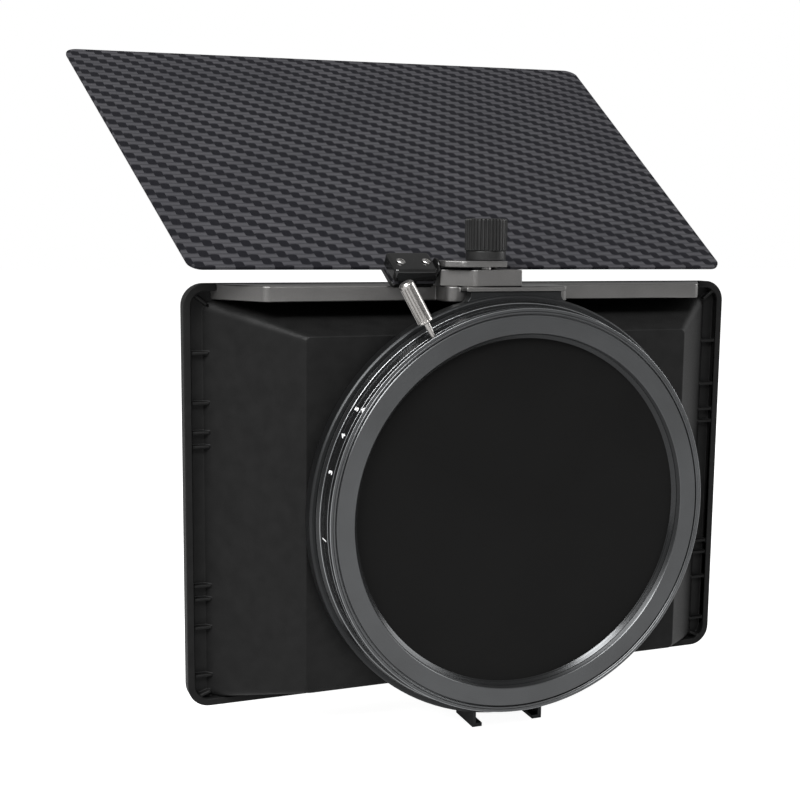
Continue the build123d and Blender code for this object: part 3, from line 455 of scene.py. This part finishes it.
# %% Control ring, cover and the rings inside
control_profile = [
    (49.65, 0.7, 0),
    (52.6, 0.7, 0),
    (52.6, 0.1, 0),
    (52.7, 0.0, 0),
    (53.0, 0.0, 0),
    (53.15, 0.14, 0),
    (53.3, 0.0, 0),
    (54.0, 0.0, 0.16, 2),
    (54.0, 2.0, 0.10, 2),
    (49.65, 2.0, 0),
]
settle(
    turned("control_ring_turned", control_profile, 224),
    "density_ring", "anodised_ring", seat_metal, ring_edge, ring_metal, nodes=["control_ring"],
)
cover_profile = [
    (52.8, 5.7, 0.05),
    (53.4, 5.7, 0.05),
    (53.4, 6.8, 0),
    (54.9, 6.8, 0.05),
    (54.9, 7.1, 0.08),
    (51.0, 7.1, 0),
    (51.0, 11.7, 0.04),
    (50.4, 11.7, 0),
    (50.4, 13.1, 0.15),
    (47.3, 13.1, 0.15),
    (47.3, 6.8, 0.1),
    (52.8, 6.8, 0),
]
settle(
    turned("front_cover_turned", cover_profile, 224),
    "lens_mount", "anodised_ring", ring_metal, ring_edge, nodes=["front_cover"],
)
cell_profile = [
    (49.9, 3.2, 0.05),
    (52.4, 3.2, 0.08),
    (52.4, 6.6, 0.1),
    (47.7, 6.6, 0.1),
    (47.7, 5.1, 0),
    (46.3, 5.1, 0.03),
    (46.3, 4.8, 0.03),
    (49.9, 4.8, 0),
]
settle(
    turned("polariser_cell_turned", cell_profile, 192),
    "density_ring", "anodised_ring", ring_metal, nodes=["polariser_cell"],
)
for node, low, high, body in (
    ("rear_glass_ring", 3.7, 4.4, "lens_mount"),
    ("front_glass_ring", 6.2, 6.6, "density_ring"),
):
    ring = [(46.5, low, 0.05), (47.7, low, 0), (47.7, high, 0.05), (46.5, high, 0.1)]
    settle(turned(node + "_turned", ring, 160), body, "anodised_ring", ring_metal, nodes=[node])
for node, low, high, body in (
    ("rear_glass", 2.6, 3.7, "lens_mount"),
    ("front_glass", 5.1, 6.2, "density_ring"),
):
    disc = [(0, low, 0), (47.65, low, 0.12), (47.65, high, 0.12), (0, high, 0)]
    settle(turned(node + "_disc", disc, 192), body, "polariser_glass", glass_dark, nodes=[node])
print("rings turned")

# %% [markdown]
# ## Geometry Nodes: one small builder
# What repeats is made by node trees: the drive slots, the flutes of the lever and the knob, and the screws.
# `Nodes` below is a thin wrapper that adds nodes and links them, and `run_tree` puts a tree on a piece,
# sets its named inputs by their identifiers, and bakes the result, because the export drops instances.


# %% Node tree helpers
class Nodes:
    def __init__(self, name, **inputs):
        self.tree = bpy.data.node_groups.new(name, "GeometryNodeTree")
        self.tree.interface.new_socket("Geometry", in_out="INPUT", socket_type="NodeSocketGeometry")
        for label, kind in inputs.items():
            self.tree.interface.new_socket(label, in_out="INPUT", socket_type="NodeSocket" + kind)
        self.tree.interface.new_socket("Geometry", in_out="OUTPUT", socket_type="NodeSocketGeometry")
        self.given = self.tree.nodes.new("NodeGroupInput").outputs
        self.result = self.tree.nodes.new("NodeGroupOutput").inputs[0]

    def add(self, kind, settings=None, **inputs):
        made = self.tree.nodes.new(kind)
        for key, value in (settings or {}).items():
            setattr(made, key, value)
        for key, value in inputs.items():
            socket = made.inputs[int(key[1:]) if key[1:].isdigit() else key.replace("_", " ")]
            if isinstance(value, bpy.types.NodeSocket):
                self.tree.links.new(value, socket)
            else:
                socket.default_value = value
        return made

    def math(self, operation, a, b=0.0):
        return self.add("ShaderNodeMath", {"operation": operation}, i0=a, i1=b).outputs[0]

    def finish(self, geometry):
        realized = self.add("GeometryNodeRealizeInstances", Geometry=geometry).outputs[0]
        dressed = self.add("GeometryNodeSetMaterial", Geometry=realized, Material=self.given["Material"])
        self.tree.links.new(dressed.outputs[0], self.result)
        return self.tree


def run_tree(piece, tree, **values):
    modifier = piece.modifiers.new(tree.name, "NODES")
    modifier.node_group = tree
    for item in tree.interface.items_tree:
        if item.in_out == "INPUT" and item.name in values:
            modifier[item.identifier] = values[item.name]
    return baked(piece)


# %% [markdown]
# ## Scale ring
# The scale ring is turned like the others, and its web has three curved slots that let the drive pins
# through to the polariser cell. One slot cutter is drawn as an arc with a round profile, instanced three
# times and taken away from the ring by a Mesh Boolean.

# %% Slot tree
slots = Nodes(
    "drive_slots",
    Count="Int",
    Radius="Float",
    Width="Float",
    Start="Float",
    Sweep="Float",
    Depth="Float",
    Material="Material",
)
arc = slots.add(
    "GeometryNodeCurveArc",
    i0=40,
    Radius=slots.given["Radius"],
    Start_Angle=slots.given["Start"],
    Sweep_Angle=slots.given["Sweep"],
)
half_width = slots.math("MULTIPLY", slots.given["Width"], 0.5)
section = slots.add("GeometryNodeCurvePrimitiveCircle", Resolution=12, Radius=half_width)
cutter = slots.add(
    "GeometryNodeCurveToMesh", Curve=arc.outputs[0], Profile_Curve=section.outputs[0], Fill_Caps=True
).outputs[0]
ring_of_points = slots.add("GeometryNodeMeshCircle", Vertices=slots.given["Count"], Radius=0.0).outputs[0]
slot_number = slots.add("GeometryNodeInputIndex").outputs[0]
third = slots.math("DIVIDE", slots.math("MULTIPLY", slot_number, 2 * math.pi), slots.given["Count"])
turn_each = slots.add("ShaderNodeCombineXYZ", Z=third).outputs[0]
cutters = slots.add(
    "GeometryNodeInstanceOnPoints", Points=ring_of_points, Instance=cutter, Rotation=turn_each
).outputs[0]
at_depth = slots.add("ShaderNodeCombineXYZ", Y=slots.given["Depth"]).outputs[0]
cutters = slots.add(
    "GeometryNodeTransform", Geometry=cutters, Translation=at_depth, Rotation=(math.pi / 2, 0, 0)
).outputs[0]
cutters = slots.add("GeometryNodeRealizeInstances", Geometry=cutters).outputs[0]
slotted = slots.add(
    "GeometryNodeMeshBoolean", {"operation": "DIFFERENCE"}, i0=slots.given["Geometry"], i1=cutters
).outputs[0]
slot_tree = slots.finish(slotted)

# %% Scale ring
scale_profile = [
    (49.65, 2.1, 0),
    (54.0, 2.1, 0.12),
    (54.55, 5.2, 0),
    (54.55, 5.4, 0),
    (55.0, 5.42, 0.12),
    (55.62, 6.8, 0.13),
    (53.45, 6.8, 0),
    (53.45, 5.6, 0),
    (52.45, 5.6, 0),
    (52.45, 3.1, 0),
    (49.65, 3.1, 0),
]
scale_ring = run_tree(
    turned("scale_ring_turned", scale_profile, 224),
    slot_tree,
    Count=3,
    Radius=51.4 * MM,
    Width=2.6 * MM,
    Start=math.radians(-LEVER_ANGLE - 60),
    Sweep=math.radians(60),
    Depth=2.6 * MM,
    Material=ring_metal,
)
settle(scale_ring, "lens_mount", "anodised_ring", ring_metal, ring_edge, nodes=["scale_ring"])
print("scale ring faces:", len(scale_ring.data.polygons))

# %% [markdown]
# ## White marks
# The scale's small numbers and the index triangle are filled with paint. Each digit is a text curve, made a
# mesh and wrapped on the ring: its own x runs round the ring, its y along the axis, and a hair of height
# keeps it above the metal.

# %% Numbers and index
MARKS = (("5", 147.5), ("4", 155.4), ("3", 165.6), ("/", 183.8))
DIGIT_SIZE = 2.3
DIGIT_DEPTH_Y = 3.85
BAND_R, BAND_SLOPE = 54.31, 0.177      # radius at the digits and its growth with depth
PAINT_LIFT = 0.03


def wrapped(mesh, angle, depth, radius, slope=0.0):
    """Wraps a flat mesh, in millimetres, on the ring at this angle and depth."""
    for vertex in mesh.vertices:
        x, y, z = vertex.co
        turn = math.radians(angle) - x / radius
        vertex.co = optical(radius + slope * y + z, turn, depth + y)


def digit_mesh(text):
    curve = bpy.data.curves.new("digit", "FONT")
    curve.body, curve.size = text, DIGIT_SIZE
    curve.align_x, curve.align_y = "CENTER", "CENTER"
    curve.extrude, curve.offset, curve.resolution_u = PAINT_LIFT, 0.07, 4
    holder = new_object("digit", curve)
    graph = bpy.context.evaluated_depsgraph_get()
    mesh = bpy.data.meshes.new_from_object(holder.evaluated_get(graph), depsgraph=graph)
    bpy.data.objects.remove(holder)
    return mesh


marks = bmesh.new()
for text, angle in MARKS:
    mesh = digit_mesh(text)
    wrapped(mesh, angle, DIGIT_DEPTH_Y, BAND_R, BAND_SLOPE)
    marks.from_mesh(mesh)
bmesh.ops.recalc_face_normals(marks, faces=marks.faces)
marks_mesh = bpy.data.meshes.new("scale_marks")
marks.to_mesh(marks_mesh)
marks.free()
settle(new_object("scale_marks", marks_mesh), "lens_mount", None, paint)

triangle = bmesh.new()
half_base, base_y, tip_y = 0.75, 0.15, 1.85
corners = [(-half_base, base_y), (half_base, base_y), (0.0, tip_y)]
under = [triangle.verts.new((x, y, -PAINT_LIFT)) for x, y in corners]
over = [triangle.verts.new((x, y, PAINT_LIFT)) for x, y in corners]
triangle.faces.new(under)
triangle.faces.new(reversed(over))
for k in range(3):
    n = (k + 1) % 3
    triangle.faces.new((under[k], over[k], over[n], under[n]))
bmesh.ops.recalc_face_normals(triangle, faces=triangle.faces)
index_mesh = bpy.data.meshes.new("index_triangle")
triangle.to_mesh(index_mesh)
triangle.free()
wrapped(index_mesh, INDEX_ANGLE, 0.0, RING_R)
settle(new_object("index_triangle", index_mesh), "density_ring", None, paint)

# %% [markdown]
# ## Fluted grips
# The lever's handle and the clamp knob are both turned first and then fluted. The tree moves each point
# towards the axis by a wave that repeats `Count` times round it, but only between two heights, so the
# collar and the bright end of the handle stay smooth.

# %% Flute tree
flutes = Nodes(
    "flutes",
    Count="Int",
    Depth="Float",
    Low="Float",
    High="Float",
    Inner="Float",
    Material="Material",
)
at = flutes.add("ShaderNodeSeparateXYZ", Vector=flutes.add("GeometryNodeInputPosition").outputs[0]).outputs
around = flutes.math("ARCTAN2", at[1], at[0])
wave = flutes.math("COSINE", flutes.math("MULTIPLY", around, flutes.given["Count"]))
groove = flutes.add(
    "ShaderNodeMapRange", {"interpolation_type": "SMOOTHSTEP"}, i0=wave, i1=-0.1, i2=0.95, i3=0.0, i4=1.0
).outputs[0]
x_squared, y_squared = flutes.math("MULTIPLY", at[0], at[0]), flutes.math("MULTIPLY", at[1], at[1])
radius = flutes.math("SQRT", flutes.math("ADD", x_squared, y_squared))
above = flutes.math("GREATER_THAN", at[2], flutes.given["Low"])
below = flutes.math("LESS_THAN", at[2], flutes.given["High"])
outside = flutes.math("GREATER_THAN", radius, flutes.given["Inner"])
inside_band = flutes.math("MULTIPLY", flutes.math("MULTIPLY", above, below), outside)
sink = flutes.math("MULTIPLY", flutes.math("MULTIPLY", groove, inside_band), flutes.given["Depth"])
toward_axis = flutes.add("ShaderNodeCombineXYZ", X=at[0], Y=at[1]).outputs[0]
unit = flutes.add("ShaderNodeVectorMath", {"operation": "NORMALIZE"}, i0=toward_axis).outputs[0]
inwards = flutes.math("MULTIPLY", sink, -1.0)
shift = flutes.add("ShaderNodeVectorMath", {"operation": "SCALE"}, i0=unit, Scale=inwards).outputs[0]
fluted = flutes.add("GeometryNodeSetPosition", Geometry=flutes.given["Geometry"], Offset=shift).outputs[0]
flute_tree = flutes.finish(fluted)

# %% Lever
lever = Vector((math.cos(math.radians(LEVER_ANGLE)), 0, math.sin(math.radians(LEVER_ANGLE))))
lever_at = Matrix.Translation((0, 1.05 * MM, 0)) @ lever.to_track_quat("Z", "Y").to_matrix().to_4x4()
neck_profile = [(0, 52.8, 0), (0.6, 52.8, 0), (0.6, 54.0, 0.1), (0.9, 58.2, 0), (0.9, 63.2, 0), (0, 63.2, 0)]
neck = turned("lever_neck_turned", neck_profile, 32, upright)
neck.data.transform(lever_at)
settle(neck, "density_ring", "lever_steel", lever_metal, nodes=["lever_neck"])
handle_profile = [
    (0.9, 58.2, 0),
    (1.7, 58.2, 0.1),
    (2.0, 58.5, 0.1),
    (2.0, 58.7, 0),
    (2.0, 59.0, 0),
    (2.0, 68.3, 0),
    (2.0, 68.6, 0),
    (2.0, 69.2, 0.12),
    (1.45, 69.8, 0.15),
    (0, 69.8, 0),
    (0, 63.2, 0),
    (0.9, 63.2, 0),
]
handle = turned("lever_handle_fluted", handle_profile, 16 * 12, upright)
handle = run_tree(
    handle,
    flute_tree,
    Count=16,
    Depth=0.32 * MM,
    Low=58.8 * MM,
    High=68.5 * MM,
    Inner=1.5 * MM,
    Material=lever_metal,
)
handle.data.transform(lever_at)
settle(handle, "density_ring", "lever_steel", lever_metal, nodes=["lever_handle"], angle=40)

# %% Knob
KNOB_RIBS = 34
knob_low, knob_high = (c.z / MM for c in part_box("knob_grip"))
knob_profile = [
    (3.2, knob_low, 0.1),
    (5.3, knob_low, 0.25),
    (5.3, 68.2, 0.15),
    (5.15, 68.4, 0.05),
    (5.6, 68.5, 0.12),
    (5.6, 68.8, 0),
    (5.6, knob_high - 0.75, 0),
    (5.6, knob_high - 0.35, 0.15),
    (5.25, knob_high, 0.25),
    (0.6, knob_high, 0),
    (0, knob_high, 0),
    (0, 74.2, 0),
    (3.2, 74.2, 0),
]
knob = turned("knob_ribbed", knob_profile, KNOB_RIBS * 10, upright)
knob = run_tree(
    knob,
    flute_tree,
    Count=KNOB_RIBS,
    Depth=0.36 * MM,
    Low=68.6 * MM,
    High=(knob_high - 0.2) * MM,
    Inner=4.6 * MM,
    Material=knob_plastic,
)
knob.data.transform(Matrix.Translation(STUD * MM))
settle(knob, "knob", "knob_plastic", knob_plastic, nodes=["knob_grip"], angle=40)
print("knob faces:", len(knob.data.polygons))

# %% [markdown]
# ## Milled and moulded pieces
# The hood shell, the carrier, the rail and the clamp already have their true shape in the CAD model, but
# its edges are perfectly sharp, which no real part is. Each gets a merged copy with eased edges; a Weighted
# Normal modifier keeps the flats flat, and the eased faces take a brighter finish where the metal is cut
# last.

# %% Eased copies
eased_pieces = (
    ("carrier", "carrier_eased", 0.16, "hood", "anodised_ring", carrier_metal, ring_metal),
    ("hood_shell", "hood_shell_eased", 0.30, "hood", "hood_plastic", hood_plastic, hood_plastic),
    ("top_rail", "top_rail_eased", 0.40, "hood", "rail_aluminium", rail_metal, rail_edge),
    ("clamp_block", "clamp_block_eased", 0.30, "hood", "rail_aluminium", rail_metal, rail_edge),
    ("clamp_jaw", "clamp_jaw_eased", 0.25, "hood", "rail_aluminium", rail_metal, rail_edge),
    ("flag_arm", "flag_arm_eased", 0.25, "flag", "black_hardware", hinge_black, hinge_black),
    ("flag_backing", "flag_backing_eased", 0.2, "flag", "black_hardware", hinge_black, hinge_black),
    ("flag_plate", "flag_plate_eased", 0.2, "flag", "flag_laminate", flag_laminate, flag_laminate),
    ("carrier_retainer", "carrier_retainer_eased", 0.1, "lens_mount", "anodised_ring", ring_metal, ring_edge),
)
for node, name, width, body, slot, face_finish, edge_finish in eased_pieces:
    piece = eased(node, name, width)
    dress(piece, face_finish, edge_finish)
    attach(piece, body)
    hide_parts(node)
    print(name, "faces:", len(piece.data.polygons))

# %% [markdown]
# ## Screws
# Every visible screw is one head and one recess. The tree cuts the recess out of a turned head with a Mesh
# Boolean, stands the result on each point it is given, turned as asked, and bakes them into one mesh. A
# hexagon socket is a six-sided cylinder; a cross is two crossed bars.


# %% Screw trees
def screw_tree(name, cross):
    t = Nodes(
        name, Head="Object", Recess="Float", Depth="Float", Top="Float", Turn="Vector", Material="Material"
    )
    head = t.add("GeometryNodeObjectInfo", Object=t.given["Head"]).outputs["Geometry"]
    deep = t.math("MULTIPLY", t.given["Depth"], 2.0)
    at_top = t.add("ShaderNodeCombineXYZ", Z=t.given["Top"]).outputs[0]
    if cross:
        bar_length = t.math("MULTIPLY", t.given["Recess"], 2.0)
        bar_width = t.math("MULTIPLY", t.given["Recess"], 0.42)
        bar_size = t.add("ShaderNodeCombineXYZ", X=bar_length, Y=bar_width, Z=deep).outputs[0]
        bar = t.add("GeometryNodeMeshCube", Size=bar_size).outputs[0]
        tools = (bar, t.add("GeometryNodeTransform", Geometry=bar, Rotation=(0, 0, math.pi / 2)).outputs[0])
    else:
        prism = t.add("GeometryNodeMeshCylinder", Vertices=6, Radius=t.given["Recess"], Depth=deep).outputs[0]
        tools = (prism,)
    for tool in tools:
        tool = t.add("GeometryNodeTransform", Geometry=tool, Translation=at_top).outputs[0]
        head = t.add("GeometryNodeMeshBoolean", {"operation": "DIFFERENCE"}, i0=head, i1=tool).outputs[0]
    stood = t.add(
        "GeometryNodeInstanceOnPoints", Points=t.given["Geometry"], Instance=head, Rotation=t.given["Turn"]
    ).outputs[0]
    return t.finish(stood)


def point_cloud(name, points):
    mesh = bpy.data.meshes.new(name)
    mesh.from_pydata([Vector(p) * MM for p in points], [], [])
    return new_object(name, mesh)


def screws(name, tree, points, head_profile, turn, body, slot, node, material, **sizes):
    head = turned(name + "_head", head_profile, 48, upright)
    smooth(head.data)
    piece = run_tree(point_cloud(name, points), tree, Head=head, Turn=turn, Material=material, **sizes)
    bpy.data.objects.remove(head)
    return settle(piece, body, slot, material, nodes=[node], angle=30)


hex_tree, cross_tree = screw_tree("hexagon_screws", False), screw_tree("cross_screws", True)


def node_centres(node, count_axis):
    """Centres of a node's separate solids, grouped along one axis."""
    bm = bmesh.new()
    bm.from_mesh(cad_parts[node].data)
    bmesh.ops.remove_doubles(bm, verts=bm.verts, dist=2e-6)
    left, centres = set(bm.verts), []
    while left:
        seen, frontier = set(), [left.pop()]
        while frontier:
            vertex = frontier.pop()
            seen.add(vertex)
            beside = [edge.other_vert(vertex) for edge in vertex.link_edges]
            frontier += [other for other in beside if other not in seen]
        left -= seen
        lows = [min(v.co[a] for v in seen) for a in range(3)]
        highs = [max(v.co[a] for v in seen) for a in range(3)]
        centres.append(Vector([(a + b) / 2 for a, b in zip(lows, highs)]) / MM)
    bm.free()
    return sorted(centres, key=lambda c: c[count_axis])


forward = (-math.pi / 2, 0, 0)        # turns a screw's +Z to +Y
rail_points = [(c.x, 39.0, c.z) for c in node_centres("rail_screws", 0)]
rail_head = [
    (0, -8.0, 0),
    (1.25, -8.0, 0.2),
    (1.25, 0, 0),
    (2.1, 0, 0.05),
    (2.1, 0.55, 0.3),
    (1.35, 1.1, 0.2),
    (0, 1.1, 0),
]
screws(
    "rail_screws_socket", hex_tree, rail_points, rail_head, forward, "hood", "screw_steel", "rail_screws",
    dark_steel, Recess=0.85 * MM, Depth=0.8 * MM, Top=1.1 * MM,
)
hood_points = [(c.x, 16.0, c.z) for c in node_centres("hood_screws", 0)]
hood_head = [
    (0, -7.5, 0),
    (1.0, -7.5, 0.2),
    (1.0, 0, 0),
    (1.7, 0, 0.05),
    (1.7, 0.6, 0.3),
    (1.1, 1.2, 0.2),
    (0, 1.2, 0),
]
screws(
    "hood_screws_socket", hex_tree, hood_points, hood_head, forward, "hood", "screw_steel", "hood_screws",
    dark_steel, Recess=0.72 * MM, Depth=0.8 * MM, Top=1.2 * MM,
)
tilt = math.radians(FLAG_TILT)
up_flag = Vector((0, -math.sin(tilt), math.cos(tilt)))
along_flag = Vector((0, math.cos(tilt), math.sin(tilt)))
flag_points = [HINGE + Vector((x, 0, 0)) + along_flag * 0.9 + up_flag * ARM_TOP for x in (-29.0, -21.8)]
flag_head = [
    (0, -5.86, 0),
    (1.0, -5.86, 0.2),
    (1.0, 0, 0),
    (1.3, 0, 0.05),
    (1.3, 0.2, 0.15),
    (0.9, 0.5, 0.3),
    (0, 0.55, 0),
]
screws(
    "flag_screws_cross", cross_tree, flag_points, flag_head, (tilt, 0, math.radians(22)), "flag", "screw_steel",
    "flag_screws", steel, Recess=0.75 * MM, Depth=0.35 * MM, Top=0.55 * MM,
)
print("screws stood:", len(rail_points) + len(hood_points) + len(flag_points))

# %% [markdown]
# ## Nodes that stay
# The remaining CAD nodes are small or hidden inside, and their shape is right, so they stay and only get
# their finish.

# %% Finishes of the CAD nodes
for node, material in (
    ("friction_washer", washer_polymer),
    ("drive_pins", steel),
    ("clamp_stud", steel),
    ("knob_insert", brass),
    ("tab_screws", dark_steel),
    ("block_screws", dark_steel),
):
    dress(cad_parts[node], material)

# %% [markdown]
# ## Floor, light and camera
# The floor and the world are white to the camera but much dimmer as a source of light, which a Light Path
# node tells apart. So black plastic stays black before a white ground, and the lamps alone draw the shape:
# a large soft one high on the left, a small one above the camera that the bore's cone mirrors, and a weak
# one on the right. The camera stands on the lens side, to the left of the hood and a little above its
# middle.

# %% Floor and light
floor_mesh = bpy.data.meshes.new("floor")
floor_z, floor_reach = cad_low.z - 0.0005, 4.0
floor_mesh.from_pydata(
    [(x * floor_reach, y * floor_reach, floor_z) for x, y in ((-1, -1), (1, -1), (1, 1), (-1, 1))],
    [],
    [(0, 1, 2, 3)],
)
floor = new_object("floor", floor_mesh)
floor_finish = Shader("pale_floor", Roughness=0.8, Specular_IOR_Level=0.1, Emission_Color=grey(1.0))
from_camera = floor_finish.node("LightPath").outputs["Is Camera Ray"]
floor_finish.set(Emission_Strength=floor_finish.spread(from_camera, 0.10, 0.95, 0.0, 1.0))
floor_finish.set(Base_Color=floor_finish.blend(floor_finish.noise(6.0), grey(0.50), grey(0.54)))
floor_mesh.materials.append(floor_finish.material)
floor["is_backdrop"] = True

world = bpy.data.worlds.new("studio")
world.use_nodes = True
world_nodes, world_links = world.node_tree.nodes, world.node_tree.links
from_camera = world_nodes.new("ShaderNodeLightPath").outputs["Is Camera Ray"]
level = world_nodes.new("ShaderNodeMapRange")
level.inputs["To Min"].default_value, level.inputs["To Max"].default_value = 0.28, 1.0
world_links.new(from_camera, level.inputs["Value"])
world_links.new(level.outputs["Result"], world_nodes["Background"].inputs["Strength"])
world_nodes["Background"].inputs["Color"].default_value = (1, 1, 1, 1)
bpy.context.scene.world = world
bpy.context.scene.view_settings.view_transform = "Standard"


def softbox(name, place, aim, size, watts):
    light = bpy.data.lights.new(name, "AREA")
    light.shape, light.size, light.size_y, light.energy = "RECTANGLE", size[0], size[1], watts
    holder = bpy.data.objects.new(name, light)
    holder.location = place
    holder.rotation_euler = (Vector(aim) - Vector(place)).to_track_quat("-Z", "Y").to_euler()
    bpy.context.scene.collection.objects.link(holder)


middle = (cad_low + cad_high) / 2
softbox("key_left", (-0.80, -0.50, 0.85), middle, (0.60, 0.60), 19.0)
softbox("fill_right", (1.2, -0.1, 0.45), middle, (0.5, 0.6), 6.0)
softbox("above_camera", (-0.16, -0.75, 0.80), middle, (0.34, 0.30), 7.5)

# %% Camera
camera_data = bpy.data.cameras.new("camera")
camera_data.lens, camera_data.sensor_width = 55.72, 36.0
camera = bpy.data.objects.new("camera", camera_data)
right = Vector((0.9346, -0.3554, 0.0098))
up = Vector((0.0383, 0.1281, 0.9910))
back = -Vector((0.3535, 0.9259, -0.1333))
facing = Matrix((right, up, back)).transposed().to_4x4()
camera.matrix_world = Matrix.Translation((-0.14486, -0.28566, 0.07271)) @ facing
camera_data.clip_start, camera_data.clip_end = 0.01, 20.0
bpy.context.scene.collection.objects.link(camera)
bpy.context.scene.camera = camera

# %% Sizes, and the end
low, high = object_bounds()
print("visual box, mm:", [round(v / MM, 1) for v in high - low])
